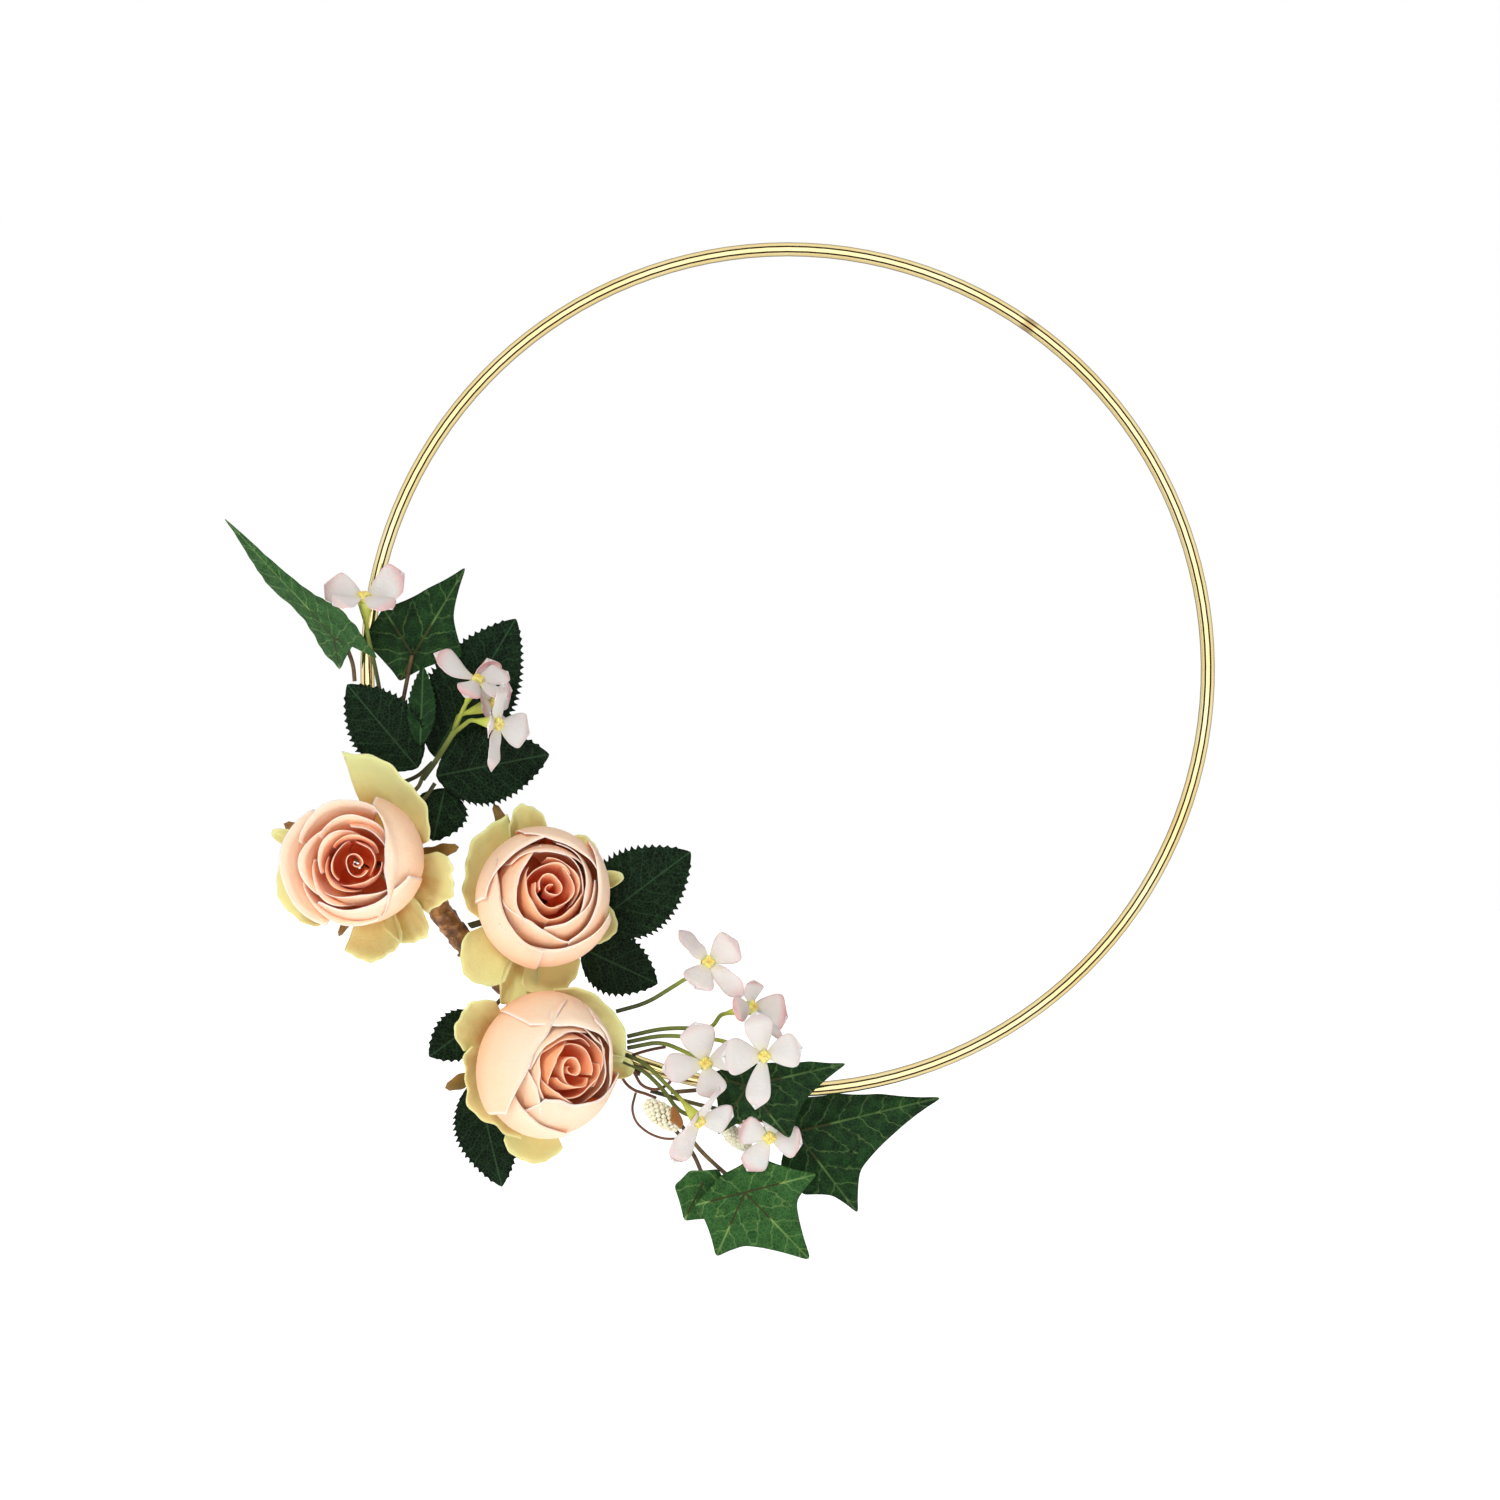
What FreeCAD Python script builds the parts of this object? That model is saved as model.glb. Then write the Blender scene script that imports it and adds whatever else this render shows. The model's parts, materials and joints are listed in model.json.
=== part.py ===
"""Flower wreath on a round metal hoop: a wire ring with a spray of fabric roses, leaves and blossoms.

The wreath hangs from the top of its hoop. The row's origin is where the hook touches the wire there,
+Z is up, -Y is the front, and the hoop lies in the XZ plane. Places in this file are measured in
millimetres from the hoop's centre, and export() moves them to the row's origin.
"""
import FreeCAD, Part
import math
import os

V = FreeCAD.Vector

# ---- driving dimensions (mm) -------------------------------------------------------------------
HOOP_OUTER_DIAMETER = 304.8
HOOP_WIRE = 5.0
HOOP_RADIUS = (HOOP_OUTER_DIAMETER - HOOP_WIRE) / 2
HANG_HEIGHT = HOOP_RADIUS - HOOP_WIRE / 2

CORE_STEM_WIRE = 1.9          # the spray's backbone, which lies along the outside of the hoop
CORE_STEM_GAP = 0.06
TAPE_CLEARANCE = 0.06
TAPE_RADIAL = 3.9             # half width of the taped bundle, across the hoop's plane
TAPE_DEEP = 3.15              # half depth of the taped bundle, front to back
TAPE_SHIFT = 0.9              # the bundle is centred this far outside the hoop's own centreline
TAPE_ARCS = {"tape_wrap_upper": (186.0, 212.0), "tape_wrap_lower": (212.4, 247.0)}
CORE_STEM_ARC = (184.0, 250.0)

BINDING_WIRE = 1.1
BINDING_TURNS = (190.0, 221.0, 231.0, 246.0)

LEAF_THICKNESS = 0.5
IVY_THICKNESS = 0.6
PETIOLE = 1.5
BEND_SHARE = 0.45             # a bend's arc takes up this share of the shorter run beside it
KNUCKLE = 1.5                 # a fork is this much fatter than the stems that meet there
BAR = 1.3                     # the stem below a fork is this much fatter than those above it
PETAL = 0.7

ROSE_CORE_RADIUS = 8.6
ROSE_PETALS = 5
PETAL_SPREAD = 70.0           # degrees of the circle that one of five petals covers
CALYX_DEPTH = 7.0
CALYX_DROP = 3.0              # top of the calyx cup below the foot of the petals
STEM_GAP = 0.05

BLOSSOM_EYE = 2.0             # radius of the yellow eye that stands through the blossom's centre
BLOSSOM_HOLE = 2.3
BLOSSOM_PETALS = 4
BLOSSOM_SPREAD = 80.0
CALYX_TUBE = 11.0
STRAIGHT_START = 3.0          # length of stem that leaves a blossom's tube or a rose's calyx straight


# ---- small geometry helpers --------------------------------------------------------------------
def unit(x, y, z):
    """Direction of a vector, with length one."""
    direction = V(x, y, z)
    direction.normalize()
    return direction


def place(shape, origin, right, up, out):
    """Move a shape from its own X, Y, Z axes onto right, up and out at origin."""
    matrix = FreeCAD.Matrix(
        right.x, up.x, out.x, origin.x,
        right.y, up.y, out.y, origin.y,
        right.z, up.z, out.z, origin.z,
        0, 0, 0, 1,
    )
    moved = shape.copy()
    moved.transformShape(matrix, True)
    return moved


def facing(out, spin=0.0):
    """Right and up directions of a flower that faces along out, turned by spin degrees."""
    up = V(0, 0, 1) - out * out.z
    if up.Length < 0.05:
        up = V(0, 1, 0) - out * out.y
    up.normalize()
    right = up.cross(out)
    angle = math.radians(spin)
    turned_right = right * math.cos(angle) + up * math.sin(angle)
    turned_up = up * math.cos(angle) - right * math.sin(angle)
    return turned_right, turned_up


def smooth_edge(points):
    """One smooth edge through points."""
    curve = Part.BSplineCurve()
    curve.interpolate(points)
    return curve.toShape()


def strip_face(points, thickness):
    """Cross-section of a curved petal: points are (radius, height) from its foot to its edge."""
    lower = []
    for index, (radius, height) in enumerate(points):
        before = points[max(index - 1, 0)]
        after = points[min(index + 1, len(points) - 1)]
        run = math.hypot(after[0] - before[0], after[1] - before[1])
        side = ((after[1] - before[1]) / run, -(after[0] - before[0]) / run)
        lower.append(V(radius + side[0] * thickness, 0, height + side[1] * thickness))
    upper = [V(radius, 0, height) for radius, height in points]
    edges = [
        smooth_edge(upper),
        Part.makeLine(upper[-1], lower[-1]),
        smooth_edge(lower[::-1]),
        Part.makeLine(lower[0], upper[0]),
    ]
    return Part.Face(Part.Wire(edges))


def petal_segment(points, thickness, middle, spread):
    """A petal that follows a cross-section round its flower's axis, centred on middle degrees."""
    section = strip_face(points, thickness)
    section.rotate(V(), V(0, 0, 1), middle - spread / 2)
    return section.revolve(V(), V(0, 0, 1), spread)


def rod(points, diameter):
    """A bent wire or stem along points: straight runs joined by tangent arcs."""
    start = points[0]
    run = points[1] - start
    section = Part.Face(Part.Wire(Part.makeCircle(diameter / 2, start, run)))
    pieces = []
    for before, corner, after in zip(points, points[1:], points[2:]):
        run_in = corner - before
        run_out = after - corner
        turn = run_in.getAngle(run_out)
        reach = BEND_SHARE * min(run_in.Length, run_out.Length)
        straight = corner - run_in.normalize() * reach - start
        pieces.append(section.extrude(straight))
        section.translate(straight)
        axis = run_in.cross(run_out).normalize()
        centre = start + straight + axis.cross(run_in) * (reach / math.tan(turn / 2))
        pieces.append(section.revolve(centre, axis, math.degrees(turn)))
        section.rotate(centre, axis, math.degrees(turn))
        start = corner + run_out.normalize() * reach
    pieces.append(section.extrude(points[-1] - start))
    if len(pieces) == 1:
        return pieces[0]
    return pieces[0].fuse(pieces[1:]).removeSplitter()


def arc_sweep(face, start, end):
    """Turn a cross-section round the hoop's axis. Angles run counter-clockwise from +X."""
    section = face.copy()
    section.rotate(V(), V(0, 1, 0), -start)
    return section.revolve(V(), V(0, -1, 0), end - start)


def on_hoop(angle, radial=0.0):
    """A point in the hoop's plane at an angle on it, radial outside its centreline."""
    turn = math.radians(angle)
    radius = HOOP_RADIUS + radial
    return V(radius * math.cos(turn), 0, radius * math.sin(turn))


def disc(radius, x):
    """Round cross-section in the XY plane at distance x from the hoop's axis."""
    circle = Part.makeCircle(radius, V(x, 0, 0), V(0, 0, 1))
    return Part.Face(Part.Wire(circle))


# ---- hoop and bundle ---------------------------------------------------------------------------
def make_hoop():
    """The butt-welded wire ring."""
    return Part.makeTorus(HOOP_RADIUS, HOOP_WIRE / 2, V(), V(0, 1, 0))


def core_stem_radius():
    """Distance of the backbone's centreline from the hoop's axis."""
    return HOOP_RADIUS + HOOP_WIRE / 2 + CORE_STEM_GAP + CORE_STEM_WIRE / 2


def make_core_stem():
    """The wire that carries every stem of the spray, lying along the outside of the hoop."""
    return arc_sweep(disc(CORE_STEM_WIRE / 2, core_stem_radius()), *CORE_STEM_ARC)


def tape_outline(grow=0.0):
    """Oval outline of the taped bundle."""
    oval = Part.Ellipse(V(HOOP_RADIUS + TAPE_SHIFT, 0, 0), TAPE_RADIAL + grow, TAPE_DEEP + grow)
    return Part.Face(Part.Wire(oval.toShape()))


def make_tape(start, end):
    """Paper tape wound round the hoop and the backbone together."""
    section = tape_outline()
    section = section.cut(disc(HOOP_WIRE / 2 + TAPE_CLEARANCE, HOOP_RADIUS))
    section = section.cut(disc(CORE_STEM_WIRE / 2 + TAPE_CLEARANCE, core_stem_radius()))
    return arc_sweep(section.Faces[0], start, end)


def make_binding():
    """Turns of binding wire drawn tight over the tape."""
    turns = []
    for angle in BINDING_TURNS:
        half_angle = math.degrees(BINDING_WIRE / 2 / HOOP_RADIUS)
        ring = tape_outline(TAPE_CLEARANCE + BINDING_WIRE).cut(tape_outline(TAPE_CLEARANCE))
        turns.append(arc_sweep(ring.Faces[0], angle - half_angle, angle + half_angle))
    return Part.makeCompound(turns)


def bundle_envelope():
    """Space that the hoop, the backbone and the tape take up together."""
    start = min(arc[0] for arc in TAPE_ARCS.values())
    end = max(arc[1] for arc in TAPE_ARCS.values())
    return arc_sweep(tape_outline(TAPE_CLEARANCE + BINDING_WIRE + TAPE_CLEARANCE), start - 1, end + 1)


# ---- roses -------------------------------------------------------------------------------------
# middle is the bloom's centre seen from the front, base_y the depth of its calyx, out the way it
# faces. guards are (angle, reach, spread, lift of the edge) and sepals (angle, reach), both seen
# from the front.
ROSES = {
    "rose_left": {
        "middle": (-154.3, -68.3), "base_y": -10.5, "out": (-0.40, -0.91, 0.06),
        "guards": ((72, 39, 44, 2.6), (318, 35, 34, 2.6), (278, 33, 36, 2.6), (168, 30, 30, 2.6),
                   (212, 30, 36, 2.6)),
        "sepals": ((150, 29), (8, 33), (262, 27), (60, 20), (330, 20)),
    },
    "rose_centre": {
        "middle": (-86.6, -80.4), "base_y": -9.0, "out": (0.10, -0.98, 0.10),
        "guards": ((122, 34, 60, 2.6), (234, 35, 40, 2.6), (278, 36, 38, 2.6), (12, 30, 40, 2.6),
                   (188, 29, 40, 2.6)),
        "sepals": ((118, 37), (40, 20), (330, 20), (255, 20), (180, 20)),
    },
    "rose_lower": {
        "middle": (-85.9, -140.0), "base_y": -12.0, "out": (0.38, -0.91, -0.14),
        "guards": ((150, 30, 34, 2.6), (196, 32, 48, 2.6), (252, 33, 56, 2.6), (32, 30, 46, 9.0),
                   (350, 29, 26, 9.0)),
        "sepals": ((190, 36), (100, 20), (30, 9), (320, 9), (250, 20)),
    },
}
BLOOM_MIDDLE = 13.0
CORE_SECTION = ((0.0, 9.0), (6.0, 11.0), (ROSE_CORE_RADIUS, 16.5), (6.5, 23.0), (0.0, 25.5))
INNER_SECTION = ((5.0, 3.0), (11.5, 7.5), (15.0, 16.0), (15.5, 25.0))
OUTER_SECTION = ((4.5, 0.6), (16.0, 4.5), (22.0, 13.0), (24.0, 24.0))
INNER_THICKNESS = -4.5
OUTER_THICKNESS = 1.4
GUARD_FOOT = 5.5
GUARD_DROP = -2.0


def rose_frame(rose):
    """Base point and directions of a rose. Its own Z runs up the bloom from the calyx."""
    out = unit(*rose["out"])
    x, z = rose["middle"]
    base = V(x - out.x * BLOOM_MIDDLE, rose["base_y"], z - out.z * BLOOM_MIDDLE)
    right, up = facing(out)
    return base, right, up, out


def make_rose_core():
    """Tight bud in the middle of a rose."""
    curve = smooth_edge([V(radius, 0, height) for radius, height in CORE_SECTION])
    foot = CORE_SECTION[0][1]
    top = CORE_SECTION[-1][1]
    axis = Part.makeLine(V(0, 0, top), V(0, 0, foot))
    return Part.Face(Part.Wire([curve, axis])).revolve(V(), V(0, 0, 1), 360)


def make_petal_ring(section, thickness, turn):
    """Five equal petals that stand side by side round the bloom."""
    step = 360 / ROSE_PETALS
    petals = []
    for index in range(ROSE_PETALS):
        petals.append(petal_segment(section, thickness, turn + index * step, PETAL_SPREAD))
    return Part.makeCompound(petals)


def make_guards(guards):
    """Flared outer petals under the bloom, each with its own reach."""
    petals = []
    for angle, reach, spread, lift in guards:
        section = ((GUARD_FOOT, GUARD_DROP), (18.0, GUARD_DROP + lift * 0.4), (reach, lift))
        petals.append(petal_segment(section, PETAL, angle, spread))
    return Part.makeCompound(petals)


def make_calyx(sepals):
    """Green cup under the guard petals, with its pointed sepals."""
    cup = Part.makeCone(1.9, 4.6, CALYX_DEPTH, V(0, 0, -CALYX_DROP - CALYX_DEPTH))
    blades = []
    for angle, reach in sepals:
        outline = [V(2, -2.6, 0), V(reach * 0.5, -2.2, 0), V(reach, 0, 0), V(reach * 0.5, 2.2, 0)]
        outline.append(V(2, 2.6, 0))
        blade = Part.Face(Part.makePolygon(outline + outline[:1])).extrude(V(0, 0, 0.5))
        blade.translate(V(0, 0, -4.3))
        blade.rotate(V(), V(0, 0, 1), angle)
        blades.append(blade)
    return cup.fuse(blades).removeSplitter()


def rose_stem_start(rose):
    """First two points of a rose's stem, straight out of its calyx."""
    base, _, _, out = rose_frame(rose)
    foot = CALYX_DEPTH + CALYX_DROP + STEM_GAP
    return [base - out * foot, base - out * (foot + STRAIGHT_START)]


# ---- leaves ------------------------------------------------------------------------------------
# Rose leaves: foot and tip are (x, y, z), width is across the blade, and roll turns the blade about
# its midrib in degrees, the right-hand side away from the front when positive.
ROSE_LEAVES = {
    "rose_leaf_1": ((-126.0, -2.2, -31.0), (-97.0, -2.6, 18.0), 32, 0),
    "rose_leaf_2": ((-131.5, -7.2, -35.0), (-156.5, -8.2, -5.5), 25, 0),
    "rose_leaf_3": ((-130.5, -8.5, -27.0), (-129.5, -7.6, 1.0), 10, -8),
    "rose_leaf_4": ((-125.0, -5.6, -38.0), (-85.0, -6.8, -30.0), 27, 3),
    "rose_leaf_5": ((-124.0, -2.6, -42.0), (-124.0, -3.2, -61.5), 20, 3),
    "rose_leaf_6": ((-70.5, -3.5, -91.0), (-34.5, -6.0, -65.5), 31, 8),
    "rose_leaf_7": ((-74.0, -1.2, -100.0), (-46.0, -2.4, -111.0), 22, -3),
    "rose_leaf_8": ((-108.0, -1.0, -124.5), (-128.0, -4.0, -137.0), 18, 10),
    "rose_leaf_9": ((-111.0, -1.5, -146.0), (-102.0, -5.0, -184.0), 23, -8),
}

# Ivy leaves: foot is the junction of the five ribs, out the way the blade faces, spin turns it, and
# the lobe tips are (x, z) places seen from the front with a notch between each two.
IVY_LEAVES = {
    "ivy_leaf_a": {
        "foot": (-161.0, -14.0, 14.0), "out": (-0.64, -0.50, -0.56),
        "rim": ((-153.5, 8.5), (-144.0, 3.4), (-152.0, 14.5), (-158.5, 21.0), (-169.5, 27.0),
                (-200.4, 56.2), (-184.5, 29.0), (-173.0, 18.0), (-166.0, 6.0), (-159.3, -0.2)),
    },
    "ivy_leaf_b": {
        "foot": (-133.3, -4.6, 5.5), "out": (0.0, -1.0, 0.0),
        "rim": ((-128.0, 1.0), (-115.0, 4.5), (-119.0, 19.0), (-114.0, 36.9), (-128.0, 29.0),
                (-137.5, 24.0), (-144.0, 22.0), (-152.0, 10.5), (-143.0, 2.0), (-138.0, -4.5)),
    },
    "ivy_leaf_c": {
        "foot": (-14.0, -10.0, -147.0), "out": (0.02, -0.99, -0.03),
        "rim": ((-19.0, -139.5), (-28.8, -143.9), (-25.0, -153.0), (-25.2, -165.7), (-12.0, -158.5),
                (0.8, -167.1), (6.0, -153.0), (21.5, -139.6), (8.0, -139.0), (-5.0, -139.5)),
    },
    "ivy_leaf_d": {
        "foot": (3.3, 6.8, -166.8), "out": (-0.05, -0.99, 0.03),
        "rim": ((2.0, -153.0), (18.0, -151.5), (33.0, -151.5), (56.1, -152.5), (38.0, -166.0),
                (26.0, -179.0), (25.4, -194.6), (16.0, -188.0), (5.5, -188.0), (-3.0, -178.0)),
    },
    "ivy_leaf_e": {
        "foot": (-14.2, -4.5, -186.4), "out": (0.0, -1.0, 0.0),
        "rim": ((-11.3, -172.8), (-2.0, -176.5), (10.8, -179.3), (3.0, -189.5), (8.7, -210.6),
                (-15.0, -205.0), (-25.6, -209.2), (-29.5, -196.0), (-33.4, -190.7), (-24.0, -180.0)),
    },
    "ivy_leaf_f": {
        "foot": (-29.5, -0.5, -183.0), "out": (0.0, -1.0, 0.0),
        "rim": ((-24.5, -178.0), (-20.6, -186.0), (-27.0, -196.0), (-37.0, -196.7), (-40.6, -184.0),
                (-35.0, -178.5)),
    },
}


def make_rose_leaf(foot, tip, width, roll):
    """Flat pointed blade from foot to tip."""
    foot = V(*foot)
    run = V(*tip) - foot
    length = run.Length
    along = run * (1 / length)
    front = V(0, -1, 0) - along * (-along.y)
    front.normalize()
    across = front.cross(along)
    turn = math.radians(roll)
    normal = front * math.cos(turn) + across * math.sin(turn)
    side = normal.cross(along)
    left = [V(0, 0, 0), V(length * 0.16, width * 0.34, 0), V(length * 0.42, width * 0.5, 0)]
    left += [V(length * 0.78, width * 0.27, 0), V(length, 0, 0)]
    right = [V(point.x, -point.y, 0) for point in left]
    outline = Part.Wire([smooth_edge(left), smooth_edge(right[::-1])])
    blade = Part.Face(outline).extrude(V(0, 0, -LEAF_THICKNESS))
    return place(blade, foot, along, side, normal)


def make_ivy_leaf(leaf):
    """Flat lobed blade in the plane through its foot that faces along out."""
    foot = V(*leaf["foot"])
    out = unit(*leaf["out"])
    rim = []
    for x, z in leaf["rim"]:
        depth = foot.y - (out.x * (x - foot.x) + out.z * (z - foot.z)) / out.y
        rim.append(V(x, depth, z))
    blade = Part.Face(Part.makePolygon(rim + rim[:1]))
    return blade.extrude(out * -IVY_THICKNESS)


# ---- blossoms ----------------------------------------------------------------------------------
# middle is (x, y, z) of the eye, out the way the blossom faces, spin turns its four petals, reach is
# the petals' length from the axis and lift how far their tips stand forward of the eye.
BLOSSOMS = {
    "blossom_top": ((-149.7, -19.0, 25.5), (-0.05, -0.42, 0.90), 45, 15.5, 3.5),
    "blossom_upper_1": ((-109.4, -22.5, -4.0), (0.40, -0.52, 0.75), 10, 12.0, 5.0),
    "blossom_upper_2": ((-105.0, -12.6, -12.5), (0.86, -0.42, 0.28), 10, 9.5, 5.0),
    "blossom_upper_3": ((-101.9, -32.0, -19.5), (0.72, -0.68, -0.10), 0, 13.5, 3.0),
    "blossom_inner": ((-28.1, -17.0, -103.6), (0.15, -0.96, 0.20), 30, 13.5, 2.5),
    "blossom_lower_1": ((-12.7, -15.0, -119.7), (0.80, -0.55, 0.22), 0, 10.5, 4.0),
    "blossom_lower_2": ((-29.1, -19.0, -139.3), (-0.05, -0.98, 0.15), 45, 13.5, 1.5),
    "blossom_lower_3": ((-8.5, -25.5, -136.4), (0.18, -0.97, 0.05), 0, 15.0, 1.5),
    "blossom_lower_4": ((-31.3, -23.0, -159.5), (0.50, -0.66, -0.55), 20, 13.0, 3.0),
    "blossom_lower_5": ((-6.5, -6.8, -166.5), (0.10, -0.97, -0.15), 0, 9.0, 0.5),
}


def blossom_frame(name):
    """Middle and directions of a blossom. Its own Z is the way it faces."""
    middle, out, spin, _, _ = BLOSSOMS[name]
    out = unit(*out)
    right, up = facing(out, spin)
    return V(*middle), right, up, out


def make_corolla(name):
    """Four fabric petals round the eye."""
    _, _, _, reach, lift = BLOSSOMS[name]
    section = ((BLOSSOM_HOLE, 0.0), (reach * 0.55, lift * 0.35), (reach, lift))
    step = 360 / BLOSSOM_PETALS
    petals = []
    for index in range(BLOSSOM_PETALS):
        petals.append(petal_segment(section, PETAL, index * step, BLOSSOM_SPREAD))
    return place(Part.makeCompound(petals), *blossom_frame(name))


def make_eye_and_tube(name):
    """Moulded tube under a blossom, with the eye that stands through the petals."""
    tube = Part.makeCone(PETIOLE / 2, 2.6, CALYX_TUBE - 1.6, V(0, 0, -CALYX_TUBE))
    eye = Part.makeCylinder(BLOSSOM_EYE, 2.8, V(0, 0, -1.7))
    return place(tube.fuse(eye), *blossom_frame(name))


def stem_start(name):
    """First two points of a blossom's stem, straight out of its moulded tube."""
    middle, _, _, out = blossom_frame(name)
    return [middle - out * CALYX_TUBE, middle - out * (CALYX_TUBE + STRAIGHT_START)]


def make_sprig(names, routes, bar=None):
    """One moulded piece: the tubes of several blossoms and the stems that join them."""
    pieces = [make_eye_and_tube(name) for name in names]
    for name, points in zip(names, routes):
        pieces.append(rod(stem_start(name) + [V(*point) for point in points], PETIOLE))
    if bar:
        pieces.append(rod([V(*point) for point in bar], PETIOLE * BAR))
        forks = {points[-1] for points in routes}
        pieces += [Part.makeSphere(PETIOLE / 2 * KNUCKLE, V(*point)) for point in forks]
    return pieces[0].fuse(pieces[1:]).removeSplitter()


# ---- stems, pods and wires ---------------------------------------------------------------------
ROSE_STEM = 2.4
POD_LENGTH = 15.0
POD_WIDTH = 7.4
TENDRIL_WIRE = 0.9


def make_rose_stems():
    """Stem of each rose, from its calyx to the taped bundle."""
    routes = {
        "rose_left": [on_hoop(206.5, 4.0)],
        "rose_centre": [V(-94.0, 4.6, -85.0), V(-100.0, 1.0, -87.5), on_hoop(218.5, -2.0)],
        "rose_lower": [V(-93.5, 1.0, -132.5), on_hoop(235.0, 4.0)],
    }
    envelope = bundle_envelope()
    stems = []
    for name, route in routes.items():
        stems.append(rod(rose_stem_start(ROSES[name]) + route, ROSE_STEM).cut(envelope))
    return Part.makeCompound(stems)


def make_leaf_stems():
    """Short wired stems from behind the rose leaves, and the feet of the posable sprays."""
    routes = (
        (V(-126.5, -1.0, -33.0), V(-131.5, -1.2, -38.0), on_hoop(196.5, -2.0)),
        (V(-129.5, -6.2, -37.5), V(-131.5, -5.0, -42.5), on_hoop(198.5, -2.0)),
        (V(-125.5, -4.5, -40.5), V(-129.0, -4.5, -46.0), V(-135.5, -4.4, -50.5), on_hoop(202.0)),
        (V(-72.0, -2.0, -93.5), V(-80.0, 2.6, -98.0), V(-98.0, 2.6, -106.0), on_hoop(227.5, -2.0)),
        (V(-107.5, -0.4, -123.5), on_hoop(229.0, 3.0)),
        (V(-110.5, -0.4, -144.0), V(-104.5, -0.4, -132.0), on_hoop(232.5, 3.0)),
        (V(-153.5, -5.1, -5.6), V(-151.6, -5.2, -11.0), V(-149.0, -5.2, -18.0)),
        (V(-62.2, -6.6, -122.3), V(-66.0, -6.0, -127.0), on_hoop(243.0, -2.0)),
        (V(-13.4, 4.5, -159.6), V(-34.0, 4.4, -155.0), V(-49.0, 4.4, -150.5)),
    )
    envelope = bundle_envelope()
    return Part.makeCompound([rod(list(route), PETIOLE).cut(envelope) for route in routes])


def make_bead_pods():
    """Two bead-covered seed pods; each solid is the outer shape of a bead cluster."""
    pods = []
    places = (
        (V(-50.5, -10.0, -153.9), unit(0.81, -0.10, -0.58), 1.0),
        (V(-22.5, 0.0, -163.5), unit(0.62, 0.0, -0.50), 0.75),
    )
    for foot, out, size in places:
        right, up = facing(out)
        radius = POD_WIDTH / 2 * size
        length = POD_LENGTH * size
        body = Part.makeCone(radius * 0.45, radius, length * 0.55)
        nose = Part.makeCone(radius, radius * 0.45, length * 0.45, V(0, 0, length * 0.55))
        pods.append(place(body.fuse(nose).removeSplitter(), foot, right, up, out))
    return Part.makeCompound(pods)


def make_tendril():
    """Loose loop of brown binding wire under the bundle's lower end."""
    points = ((-54.0, -6.5, -150.5), (-55.5, -7.5, -156.0), (-54.0, -8.0, -161.0), (-49.5, -8.5, -164.8))
    points += ((-44.0, -9.0, -166.8), (-38.0, -9.0, -166.6))
    return rod([V(*point) for point in points], TENDRIL_WIRE)


def make_petioles():
    """Leaf stalks of the ivy, each ending just behind its blade or, on leaf b, in front of it."""
    stalks = {
        "ivy_petiole_a": ((-158.8, -10.8, 12.5), (-156.6, -8.2, 8.0), (-154.4, -6.2, 1.5),
                          (-154.0, -5.4, -4.2)),
        "ivy_petiole_b": ((-133.6, -5.6, 5.0), (-136.4, -5.6, -9.0), (-138.0, -3.6, -18.0),
                          (-138.8, -2.0, -26.0), (-144.5, -1.0, -32.0)),
        "ivy_petiole_d": ((2.6, 5.6, -166.0), (-4.0, 5.0, -163.0), (-12.2, 4.5, -160.0)),
        "ivy_petiole_e": ((-14.8, -2.9, -185.6), (-24.0, -2.9, -178.0), (-31.5, -2.9, -171.0),
                          (-41.0, -3.4, -158.0)),
    }
    envelope = bundle_envelope()
    made = {}
    for name, points in stalks.items():
        made[name] = rod([V(*point) for point in points], PETIOLE).cut(envelope)
    lower = (
        ((-14.6, -8.2, -147.0), (-22.0, -7.4, -148.4), (-34.0, -5.8, -149.8), (-41.5, -5.2, -150.4)),
        ((-29.5, 1.0, -182.5), (-33.5, 1.0, -172.5), (-45.0, 1.0, -158.0)),
    )
    made["ivy_petioles_lower"] = Part.makeCompound(
        [rod([V(*point) for point in points], PETIOLE) for points in lower]
    )
    return made


def make_sprigs():
    """The moulded stem pieces of the blossoms."""
    sprigs = {}
    sprigs["sprig_top"] = make_sprig(
        ["blossom_top"], [[(-147.2, -8.6, 4.0), (-145.2, -5.9, -6.5), (-143.8, -5.5, -16.0)]]
    )
    sprigs["sprig_upper"] = make_sprig(
        ["blossom_upper_1", "blossom_upper_2", "blossom_upper_3"],
        [[(-118.5, -17.0, -23.0)], [(-118.5, -17.0, -23.0)], [(-118.5, -17.0, -23.0)]],
        [(-118.5, -17.0, -23.0), (-125.0, -12.0, -33.0), (-129.5, -9.6, -39.0)],
    )
    sprigs["sprig_inner"] = make_sprig(
        ["blossom_inner"],
        [[(-33.2, -3.6, -108.2), (-38.0, -8.4, -111.0), (-50.0, -7.6, -118.6), (-61.0, -6.8, -121.6)]],
    )
    lower = {
        "blossom_lower_1": [(-27.0, -7.4, -127.6), (-44.0, -7.6, -127.4), (-57.0, -6.2, -130.5)],
        "blossom_lower_2": [(-31.5, -5.0, -139.0), (-36.0, -8.0, -136.0), (-45.0, -8.0, -132.2),
                            (-57.0, -6.4, -134.6)],
        "blossom_lower_3": [(-22.0, -11.5, -131.6), (-44.5, -8.6, -129.8), (-57.0, -6.8, -132.5)],
        "blossom_lower_4": [(-42.0, -9.6, -148.5), (-50.5, -8.6, -140.0), (-57.5, -6.6, -136.9)],
        "blossom_lower_5": [(-24.0, 4.6, -160.2), (-38.0, -3.2, -158.6), (-44.5, -6.4, -149.0),
                            (-51.5, -6.2, -142.4), (-58.5, -5.9, -139.4)],
    }
    sprigs["sprig_lower"] = Part.makeCompound(
        [make_sprig([name], [route]) for name, route in lower.items()]
    )
    return sprigs


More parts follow.
